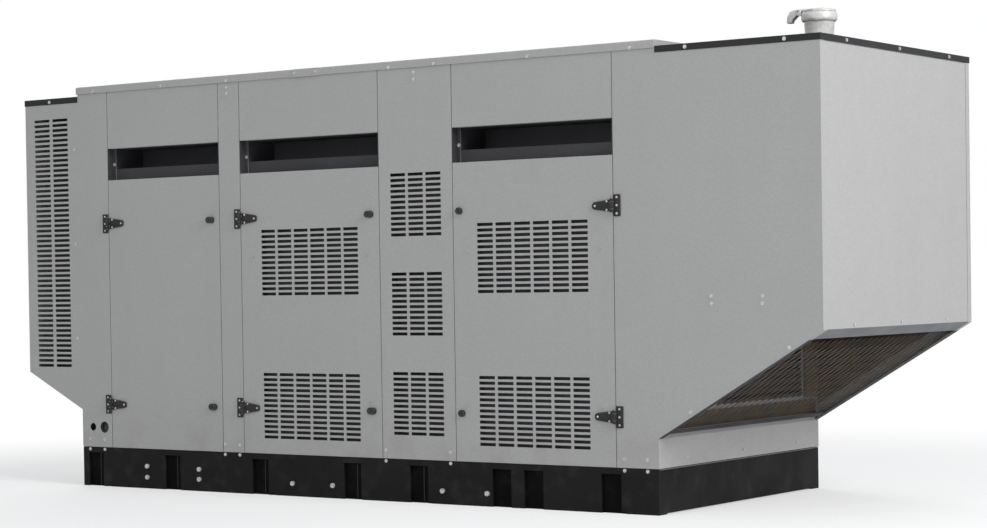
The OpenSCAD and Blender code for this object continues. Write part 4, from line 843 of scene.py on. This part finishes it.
def strap_pattern():
    """The moving strap of a hinge: a tapered casting with a round end and a raised spine."""
    back, face, half = 0.009, 0.0026, 0.0138
    strap = block("strap", (0.0095, face, -0.0245), (0.076, back, 0.0245))
    choose(strap, RIGHT)
    for longer, taper in ((0, 0.66), (0.009, 0.88), (0.0055, 0.62), (0.002, 0.5)):
        if longer:
            bpy.ops.mesh.extrude_region_move(TRANSFORM_OT_translate={"value": (longer, 0, 0)})
        bpy.ops.transform.resize(value=(1, 1, taper), center_override=(0, face, 0))
    put_down()
    spine = block("spine", (0.004, face - 0.0028, -0.0075), (0.070, face + 0.002, 0.0075))
    moved_points(spine, lambda p: p.x > 0.05 and p.y < face, (-0.006, 0.0016, 0))
    scaled(spine, lambda centre, normal: normal.x > 0.7, (1, 1, 0.5), (0, face, 0))
    knuckle = bar("knuckle", (0, 0, -half), (0, 0, half), 0.008, 96)
    knuckle.data.transform(Matrix.Diagonal((1.04, 1, 1, 1)))
    return joined("strap_pattern", [
        eased(strap, 0.0018, 3), eased(spine, 0.0016, 3), eased(knuckle, 0.0008, 1),
        slab("web", (0.0, -0.0072, -half), (0.0125, -0.0012, half), 0.001, 1),
    ])


def hinges():
    """Fixed leaves on the posts and straps on the doors, each with its screws, and the pins."""
    leaf, strap = leaf_pattern(), strap_pattern()
    leaf_spots = [(-0.019, 0.003, z) for z in (-0.031, 0, 0.031)]
    strap_spots = [(0.026, 0.0026, -0.0165), (0.026, 0.0026, 0.0165), (0.079, 0.0026, 0)]
    leaf_screws, strap_screws = (
        joined("screw_pattern", screws("hinge_screw", spots, (0, -1, 0), 0.0036, 0.0018))
        for spots in (leaf_spots, strap_spots)
    )
    leaves, leaf_heads, pins = [], [], []
    reach = Vector((0, 0, 0.028))
    for door in DOORS:
        straps, strap_heads = [], []
        patterns = ((leaf, leaves), (leaf_screws, leaf_heads), (strap, straps), (strap_screws, strap_heads))
        for z in HINGE_ROWS:
            centre = PIVOTS[door + "_swing"].copy()
            centre.z = z
            pins.append(rod("pin", centre - reach, centre + reach, 0.004, 24, 0.001))
            for pattern, heap in patterns:
                piece = copied(pattern)
                if opens_left(door) < 0:
                    mirrored(piece, (1, 0, 0))
                heap.append(on_side(piece, side_of(door), centre))
        fit(door + "_straps", straps, "hinge_dark", door)
        fit(door + "_strap_screws", strap_heads, "bright_steel", door)
    fit("hinge_leaves", leaves, "hinge_dark", "enclosure", "door_hinges")
    fit("hinge_leaf_screws", leaf_heads, "bright_steel")
    cap_pin, reach = PIVOTS["rain_flap_lift"], Vector((0, 0.019, 0))
    pins.append(rod("pin", cap_pin - reach, cap_pin + reach, 0.004, 20, 0.0008))
    fit("hinge_pin_set", pins, "bright_steel", "enclosure", "hinge_pins")
    discard(leaf, strap, leaf_screws, strap_screws)


# ---- Sound baffles and base --------------------------------------------------

def baffle(x, z, half_x, half_z, side, deep):
    """A lined steel tray that stands behind a grille, its lining quilted in squares."""
    outward, back = facing(y=side), 0.012
    low_y, high_y = sorted((side * INNER, side * (INNER - deep)))
    tray = block("baffle", (x - half_x, low_y, z - half_z), (x + half_x, high_y, z + half_z))
    sunk(tray, outward, 0.006, deep - back)
    lining_y = side * (INNER - deep + back)
    choose(tray, lambda c, n: outward(c, n) and abs(c.y - lining_y) < 0.002)
    bpy.ops.mesh.subdivide(number_cuts=4)
    bpy.ops.mesh.inset(thickness=0.004, use_individual=True)
    bpy.ops.mesh.extrude_region_shrink_fatten(TRANSFORM_OT_shrink_fatten={"value": 0.003})
    put_down()
    return eased(tray, 0.0015)


def baffles():
    for door in DOORS[1:]:
        low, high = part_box(door)
        trays = [
            baffle((low.x + high.x) / 2, FLOOR_LINE + rise, 0.276, 0.152, side_of(door), 0.040)
            for rise in (0.206, 0.815)
        ]
        fit(door + "_baffles", trays, "duct_black", door)
    middle = (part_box("front_door_2")[1].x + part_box("front_door_3")[0].x) / 2
    for side, name in SIDES:
        trays = [baffle(middle, FLOOR_LINE + rise, 0.142, 0.140, side, 0.060) for rise in (0.228, 0.6345, 1.039)]
        fit("centre_baffles_" + name, trays, "duct_black")


def radiator_seal():
    """A foam-rubber strip along the foot of the radiator's opening in the end wall."""
    wall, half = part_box("radiator")[1].x + SHEET, 0.519
    foot, head = (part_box("radiator")[0].z + rise for rise in (0.054, 0.0805))
    strip = block("radiator_seal", (wall + CLEAR, -half, foot), (wall + SHEET + CLEAR, half, head))
    scaled(strip, lambda c, n: abs(n.y) > 0.9, (1, 1, 0.5), (wall, 0, head))
    fit("radiator_seal", [eased(strip, 0.0008)], "black_rubber")


def intake_splitters():
    """Upright sound splitters behind the louvres of the intake hood."""
    low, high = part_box("intake_hood_shell")
    boards = []
    for y in (-0.52, -0.26, 0.0, 0.26, 0.52):
        board = block("splitter", (low.x + 0.03, y - 0.025, low.z + 0.215),
                      (high.x - 0.04, y + 0.025, high.z - 0.02))
        moved_points(board, lambda p: p.x > (low.x + high.x) / 2 and p.z < 1, (0, 0, -0.14))
        boards.append(eased(board, 0.02, 4))
    fit("intake_splitters", boards, "duct_black")


def base_details():
    """A capping and a folded lip along the head of the base's end plates, the lip painted lighter as a highlight
    along that edge, and a bead up each flute.
    """
    low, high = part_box("base_end_plates")
    head = FLOOR_LINE - 0.0006
    cappings, lit_lips = [], []
    for end, out in ((low.x, -1), (high.x, 1)):
        near, far = sorted((end - out * 0.004, end))
        cappings.append(slab("capping", (near, low.y, high.z - 0.001), (far, high.y, head), 0.0006, 1))
        near, far = sorted((end - out * 0.001, end + out * 0.002))
        lit_lips.append(slab("lip", (near, low.y, head - 0.0035), (far, high.y, head), 0.0009))
    fit("base_end_cappings", cappings, "base_black")
    # The lips wear the lighter breaker paint: a painted highlight along the top edge of each end plate.
    fit("base_end_lit_lips", lit_lips, "breaker_paint")
    low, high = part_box("base_rails")
    beads = []
    for x in (low.x + 0.095, low.x + 0.560, low.x + 1.064, low.x + 1.564, high.x - 1.113):
        for y in (0.0145 - HALF_W, HALF_W - 0.0145):
            beads.append(rod("bead", (x, y, 0.008), (x, y, high.z - 0.028), 0.0028, 16, 0.0006, 1))
    fit("flute_beads", beads, "hinge_dark")


def belly_pan():
    """Pressed pans that close the base from below, between the rails' flanges."""
    low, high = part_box("base_rails")
    edge, gap, half, count = 0.012, 0.004, 0.592, 4
    wide = (high.x - low.x - 2 * edge) / count
    pans = []
    for i in range(count):
        left = low.x + edge + i * wide
        pan = block("pan", (left, -half, 0.0012), (left + wide - gap, half, 0.0042))
        pans.append(eased(sunk(pan, TOP, 0.030, 0.0012), 0.0006, 1))
    fit("belly_pan", pans, "base_black")


# ---- Engine room -------------------------------------------------------------

def cooling_fan():
    """Six twisted blades on a ribbed hub, on a shaft with a grooved belt pulley."""
    low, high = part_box("cooling_fan")
    hub = Vector((PIVOTS["fan_turn"].x, 0, PIVOTS["fan_turn"].z))
    turns = [i * math.pi / 3 for i in range(6)]
    blade = block("blade", (-0.0022, -0.058, 0.046), (0.0022, 0.058, high.z - hub.z))
    choose_all(blade)
    bpy.ops.mesh.subdivide(number_cuts=5)
    modified(blade, "SIMPLE_DEFORM", deform_method="TWIST", deform_axis="Z", angle=math.radians(-22))
    eased(blade, 0.0015, 2, 60)
    blade.data.transform(Matrix.Rotation(math.radians(43), 4, "Z"))
    parts = [copied(blade, hub, Matrix.Rotation(turn, 4, "X")) for turn in turns]
    discard(blade)
    half = Vector((0.03, 0, 0))
    boss = sunk(bar("hub", hub - half, hub + half, 0.060, 48), lambda c, n: abs(n.x) > 0.9, 0.010, 0.008)
    parts.append(eased(boss, 0.003, 3))
    for x in (hub.x - 0.031, hub.x + 0.027):
        for turn in turns:
            y, z = 0.038 * math.cos(turn), hub.z + 0.038 * math.sin(turn)
            parts.append(rod("hub_bolt", (x, y, z), (x + 0.006, y, z), 0.005, 6, 0.0006, 1))
    parts.append(rod("axle", (low.x, 0, hub.z), hub, 0.015, 32, 0.001))
    pulley = turned("pulley", [
        (0.0145, 0.004), (0.060, 0.004), (0.066, 0.0), (0.0748, 0.0), (0.075, 0.0015), (0.075, 0.0225),
        (0.0748, 0.024), (0.066, 0.024), (0.060, 0.020), (0.0145, 0.020),
    ], (0, 0, 0))
    pulley.data.transform(Matrix.Translation((PIVOTS["charging_turn"].x, 0, hub.z)) @
                          Matrix.Rotation(math.pi / 2, 4, "Y"))
    parts.append(smooth(pulley, 30))
    fit("fan_rotor", parts, "fan_plastic", "fan_train", "cooling_fan")


def bank_place(side):
    """The frame of one bank of the engine, Z along its cylinders."""
    return (Matrix.Translation((0, side * 0.260, PIVOTS["crank_turn"].z + 0.260)) @
            Matrix.Rotation(-side * math.pi / 4, 4, "X"))


def plug_places():
    """Where the plugs stand along a bank."""
    low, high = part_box("cylinder_heads")
    return [low.x + 0.09 + i * (high.x - low.x - 0.18) / 3 for i in range(4)]


def cover_ribs():
    """Cast covers with ribs, bolts and plug boots on both banks of the engine."""
    low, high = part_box("cylinder_heads")
    long = high.x - low.x
    for side, name in SIDES:
        cover = block("cover", (low.x + 0.018, -0.077, 0.109), (high.x - 0.018, 0.077, 0.1705))
        choose(cover, TOP)
        bpy.ops.mesh.inset(thickness=0.012, use_even_offset=True)
        bpy.ops.transform.translate(value=(0, 0, 0.0015))
        put_down()
        rib = slab("rib", (low.x + 0.060, -0.060, 0.168), (low.x + 0.066, 0.060, 0.1765), 0.0022)
        spots = [(low.x + 0.045, y, 0.1092) for y in (-0.084, 0.084)]
        parts = [eased(cover, 0.009, 4), row(rib, 14, ((long - 0.13) / 13.4, 0, 0))]
        for bolt in screws("cover_bolt", spots, (0, 0, 1), 0.007, 0.007):
            parts.append(row(bolt, 6, ((long - 0.09) / 5, 0, 0)))
        for x in plug_places():
            parts.append(rod("plug_boot", (x, side * 0.052, 0.165), (x, side * 0.052, 0.196), 0.014, 24, 0.004, 3))
        for part in parts:
            part.data.transform(bank_place(side))
        fit("valve_cover_" + name, parts, "engine_black")


def pipe(name, points, radius):
    """A bent tube of one radius through the given points."""
    curve = bpy.data.curves.new(name, "CURVE")
    curve.dimensions = "3D"
    curve.bevel_depth = radius
    curve.bevel_resolution = 3
    curve.use_fill_caps = True
    line = curve.splines.new("BEZIER")
    line.bezier_points.add(len(points) - 1)
    for knot, point in zip(line.bezier_points, points):
        knot.co = point
        knot.handle_left_type = knot.handle_right_type = "AUTO"
    tube = bpy.data.objects.new(name, curve)
    bpy.context.scene.collection.objects.link(tube)
    pick_up(tube)
    bpy.ops.object.convert(target="MESH")
    return smooth(bpy.context.active_object, 60)


def ignition_leads():
    """Leads from each bank's plugs to a coil rail on the plenum."""
    low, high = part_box("cylinder_heads")
    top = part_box("intake_manifold")[1].z
    leads = []
    for side in (-1, 1):
        rail_y = side * 0.118
        for x in plug_places():
            start, rise = (bank_place(side) @ Vector((x, side * 0.052, z)) for z in (0.193, 0.225))
            end = Vector((x + 0.02, rail_y, top + 0.012))
            over = (rise + end) / 2 + Vector((0.01, 0, 0.035))
            leads.append(pipe("lead", [start, rise, over, end], 0.0045))
        leads.append(slab("coil_rail", (low.x + 0.06, rail_y - 0.016, top - 0.002),
                          (high.x - 0.06, rail_y + 0.016, top + 0.024), 0.006, 3))
    fit("ignition_leads", leads, "black_rubber")


def gas_socket():
    """The threaded socket that the supply pipe screws into, behind its hole in the end post."""
    place = next(mount for mount in RECORD["mounts"] if mount["name"] == "fuel_entry")["pos_m"]
    x, z = place[0], place[2]
    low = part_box("gas_train")[0]
    socket = bar("gas_socket", (x, low.y - 0.0145, z), (x, low.y + 0.018, z), x - low.x + 0.0012, 48)
    fit("gas_socket", [eased(sunk(socket, FRONT, 0.0045, 0.0105), 0.0012)], "engine_black")


def generator_trim():
    """Bands, stator ribs and a terminal box lid on the generator."""
    low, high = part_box("generator_housing")
    height, radius, start, fins = PIVOTS["crank_turn"].z, 0.270, low.x + 0.090, 28
    parts = []
    for x, wide in ((start + 0.010, 0.040), (high.x - 0.055, 0.040), (high.x - 0.300, 0.024)):
        parts.append(rod("band", (x, 0, height), (x + wide, 0, height), radius + 0.008, 72, 0.003))
    for i in range(fins):
        angle = -58 + i * 360 / fins
        if 60 < angle % 360 < 120:
            continue
        fin = slab("fin", (start + 0.06, -0.004, radius - 0.004),
                   (high.x - 0.31, 0.004, radius + 0.014), 0.002, 1)
        fin.data.transform(Matrix.Translation((0, 0, height)) @ Matrix.Rotation(math.radians(angle - 90), 4, "X"))
        parts.append(fin)
    foot, head = height + radius + 0.086, height + radius + 0.094
    lid = block("terminal_lid", (start + 0.110, -0.165, foot), (high.x - 0.250, 0.165, head))
    parts.append(eased(sunk(lid, TOP, 0.014, -0.003), 0.002))
    spots = [(x, y, head) for x in (start + 0.130, high.x - 0.270) for y in (-0.150, 0.150)]
    fit("generator_trim", parts + screws("lid_screw", spots, (0, 0, 1), 0.006, 0.005), "engine_paint")


def air_filter_bands():
    """Steel bands round the air cleaner, and its end cap with a nut."""
    low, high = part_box("air_cleaner")
    radius, sides = (high.y - low.y) / 2, 56
    z = high.z - radius
    parts = []
    for x in (low.x - 0.002, low.x + 0.050, (low.x + high.x) / 2 + 0.06, high.x - 0.034):
        parts.append(rod("band", (x, 0, z), (x + 0.020, 0, z), radius + 0.0035, sides, 0.0015))
    cap = bar("filter_end", (high.x - 0.004, 0, z), (high.x + 0.012, 0, z), radius - 0.012, sides)
    parts.append(eased(sunk(cap, RIGHT, 0.030, 0.006), 0.003, 3))
    parts.append(hex_screw("filter_nut", (high.x + 0.005, 0, z), (1, 0, 0), 0.010, 0.012))
    fit("air_filter_bands", parts, "bright_steel")


# ---- Control bay -------------------------------------------------------------

def control_face():
    """The control cabinet's hinged face: a display, round keys, a key switch and vents, all unmarked."""
    low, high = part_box("control_cabinet")
    y, face, middle = low.y, low.y - 0.004, (low.x + high.x) / 2 - 0.06
    edge = 0.006
    door = slab("control_face", (low.x + edge, face, low.z + edge),
                (high.x - edge, y - CLEAR, high.z - edge), 0.0015)
    fit("control_face", [door], "cabinet_paint")

    panel = block("display_panel", (middle - 0.125, y - 0.0165, high.z - 0.235),
                  (middle + 0.125, face, high.z - 0.045))
    fit("display_panel", [eased(sunk(panel, FRONT, 0.014, 0.003), 0.003, 3)], "handle_black")
    screen = block("display", (middle - 0.085, y - 0.0150, high.z - 0.150),
                   (middle + 0.035, y - 0.0128, high.z - 0.075))
    fit("display", [eased(sunk(screen, FRONT, 0.004, 0.0008), 0.0008)], "cabinet_paint")

    keys, key_y = [], y - 0.0130
    for i in range(3):
        for j in range(2):
            x, z = middle - 0.060 + i * 0.045, high.z - 0.178 - j * 0.026
            key = bar("key", (x, key_y, z), (x, key_y - 0.005, z), 0.0085, 28)
            keys.append(eased(sunk(key, FRONT, 0.002, 0.0008), 0.0012, 3))
    x, z = middle + 0.080, high.z - 0.110
    keys.append(rod("selector", (x, key_y, z), (x, key_y - 0.012, z), 0.018, 40, 0.003, 3))
    keys.append(slab("selector_grip", (x - 0.004, key_y - 0.022, z - 0.016),
                     (x + 0.004, key_y - 0.010, z + 0.016), 0.002, 3))
    fit("control_keys", keys, "battery_plastic")

    vents = []
    for i in range(8):
        z = low.z + 0.060 + i * 0.016
        vents.append(slab("vent", (low.x + 0.060, y - 0.0065, z),
                          (low.x + 0.200, y - 0.0035, z + 0.007), 0.0014))
    spots = corners((low.x + 0.025, high.x - 0.025), face, (low.z + 0.030, high.z - 0.030))
    fit("control_vents", vents + screws("face_screw", spots, (0, -1, 0), 0.0055, 0.003), "breaker_paint")

    low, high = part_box("stop_button")
    x, z = (low.x + high.x) / 2, (low.z + high.z) / 2
    ring = bar("stop_ring", (x, face, z), (x, face - 0.0020, z), 0.028, 48)
    fit("stop_ring", [eased(sunk(ring, FRONT, 0.004, 0.0006), 0.0006)], "gas_pipe_paint")


def stop_head():
    """A mushroom head on the stop button's spindle, clear of the cabinet's face when pressed."""
    low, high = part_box("stop_button")
    x, z = (low.x + high.x) / 2, (low.z + high.z) / 2
    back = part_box("control_cabinet")[0].y - 0.0128
    head = bar("stop_head", (x, low.y, z), (x, back, z), (high.x - low.x) / 2, 48)
    scaled(head, facing(y=1), (0.62, 1, 0.62), (x, back, z))
    choose(head, FRONT)
    bpy.ops.mesh.inset(thickness=0.007)
    bpy.ops.transform.translate(value=(0, 0.0012, 0))
    put_down()
    stem = rod("stop_stem", (x, back - 0.002, z), (x, high.y, z), 0.0078, 24, 0.0008)
    fit("stop_head", [eased(head, 0.0042, 4), stem], "stop_red", "stop_button", "stop_button")


def breaker_face():
    """A moulded breaker front round the handle, with a plain cover plate below."""
    low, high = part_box("breaker_box")
    handle_low, handle_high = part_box("breaker_handle")
    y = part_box("control_cabinet")[0].y
    x, z = (handle_low.x + handle_high.x) / 2, PIVOTS["breaker_handle_throw"].z
    half_x, half_z, front = 0.095, 0.110, y - 0.0125
    parts = []
    for left, right in ((x - half_x, x - 0.0235), (x + 0.0235, x + half_x)):
        parts.append(slab("breaker_cheek", (left, front, z - half_z),
                          (right, y - CLEAR, z + half_z), 0.003, 3))
    for foot, head in ((z - half_z, z - 0.052), (z + 0.052, z + half_z)):
        parts.append(slab("breaker_bridge", (x - 0.0245, front + 0.001, foot),
                          (x + 0.0245, y - CLEAR, head), 0.002))
    spots = corners((x - 0.080, x + 0.080), front, (z - 0.095, z + 0.095))
    fit("breaker_front", parts + screws("breaker_screw", spots, (0, -1, 0), 0.0048, 0.003), "battery_plastic")

    face = y - 0.003
    plate = block("breaker_plate", (low.x + 0.030, face, low.z + 0.035), (high.x - 0.030, y - CLEAR, z - 0.135))
    spots = corners((low.x + 0.045, high.x - 0.045), face, (z - 0.150,))
    parts = [eased(sunk(plate, FRONT, 0.02, -0.0012), 0.0012)]
    fit("breaker_plate", parts + screws("plate_screw", spots, (0, -1, 0), 0.0055, 0.003), "breaker_paint")


def battery_top():
    """The battery's lid with its vent caps and clamped terminals."""
    low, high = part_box("battery")
    top, lap, sides = high.z - 0.016, 0.002, 24
    lid = block("battery_lid", (low.x - lap, low.y - lap, top - 0.030),
                (high.x + lap, high.y + lap, top + 0.003))
    x, y = low.x + 0.045, high.y - 0.060
    cap = rod("vent_cap", (x, y, top), (x, y, top + 0.009), 0.012, sides, 0.002)
    parts = [eased(sunk(lid, TOP, 0.012, 0.002), 0.003, 3), row(cap, 6, (0.030, 0, 0))]
    y = low.y + 0.040
    for x in (low.x + 0.030, high.x - 0.030):
        parts.append(rod("clamp", (x, y, top + 0.003), (x, y, top + 0.0165), 0.014, sides, 0.002))
    fit("battery_lid", parts, "battery_plastic")


for make in (
    expanded_screen, hood_lining, base_details, rain_cap, latches, hinges, baffles, intake_splitters,
    radiator_seal, cooling_fan, cover_ribs, ignition_leads, gas_socket, generator_trim,
    air_filter_bands, control_face, stop_head, breaker_face, battery_top, belly_pan,
):
    make()


# ---- Stage -------------------------------------------------------------------

def white_world():
    """Soft even light, and plain white wherever the camera or a reflection sees past the object."""
    world = bpy.data.worlds.new("studio")
    bpy.context.scene.world = world
    world.use_nodes = True
    world.node_tree.nodes.clear()
    nodes = Nodes(world.node_tree)
    even = nodes.node("ShaderNodeBackground", inputs={"Color": (0.93, 0.96, 1.0), "Strength": 0.43})
    plain = nodes.node("ShaderNodeBackground", inputs={"Color": (1.0, 1.0, 1.0), "Strength": 1.0})
    camera_ray, glossy_ray, clear_ray = (
        nodes.node("ShaderNodeLightPath", output=kind + " Ray")
        for kind in ("Is Camera", "Is Glossy", "Is Transmission")
    )
    seen = camera_ray.math("MAXIMUM", camera_ray, glossy_ray)
    seen = seen.math("MAXIMUM", seen, clear_ray)
    blend = nodes.node("ShaderNodeMixShader", inputs={0: seen, 1: even, 2: plain})
    nodes.put(nodes.tree.nodes.new("ShaderNodeOutputWorld").inputs["Surface"], blend)


def floor():
    """A pale floor that fades to plain white away from the object."""
    bpy.ops.mesh.primitive_plane_add(size=60, location=(0, 0, 0))
    ground = bpy.context.active_object
    ground.name = "floor"
    finish = Finish("pale_floor")
    finish.set(Base_Color=(0.88, 0.88, 0.88), Roughness=0.9, Specular_IOR_Level=0.1)
    away = finish.node("ShaderNodeVectorMath", {"operation": "LENGTH"}, {0: finish.place}, "Value")
    seen = finish.node("ShaderNodeLightPath", output="Is Camera Ray")
    glow = finish.node("ShaderNodeEmission", inputs={"Strength": 1.0})
    blend = finish.node("ShaderNodeMixShader", inputs={
        0: seen * (away.ramp(2.2, 4.6) * 0.6 + 0.4), 1: Wire(finish, finish.shader.outputs[0]), 2: glow,
    })
    finish.put(finish.tree.nodes["Material Output"].inputs["Surface"], blend)
    ground.data.materials.append(finish.material)


def lamp(name, place, aim, size, power):
    data = bpy.data.lights.new(name, "AREA")
    data.shape = "DISK"
    data.size = size
    data.energy = power
    light = bpy.data.objects.new(name, data)
    bpy.context.scene.collection.objects.link(light)
    light.location = place
    light.rotation_euler = (Vector(aim) - Vector(place)).to_track_quat("-Z", "Y").to_euler()


def lights():
    middle = (0.2, 0.0, 0.9)
    lamp("key", (10.0, -2.2, 6.0), middle, 5.0, 1000)
    lamp("fill", (0.2, -9.5, 4.0), middle, 6.0, 235)
    lamp("back", (-7.0, 6.0, 5.0), middle, 5.0, 300)


def camera():
    data = bpy.data.cameras.new("camera")
    data.sensor_width = 36
    data.lens = 85.864
    data.shift_x = 0.0518
    data.shift_y = 0.0638
    seat = bpy.data.objects.new("camera", data)
    bpy.context.scene.collection.objects.link(seat)
    yaw, pitch, roll = 0.62712, -0.01979, -0.01524
    turn = Matrix.Rotation(yaw, 4, "Z") @ Matrix.Rotation(math.pi / 2 + pitch, 4, "X")
    turn = turn @ Matrix.Rotation(roll, 4, "Z")
    seat.matrix_world = Matrix.Translation((6.07342, -8.33748, 0.90343)) @ turn
    bpy.context.scene.camera = seat


def stage():
    white_world()
    floor()
    lights()
    camera()
    bpy.context.scene.view_settings.view_transform = "Standard"


stage()
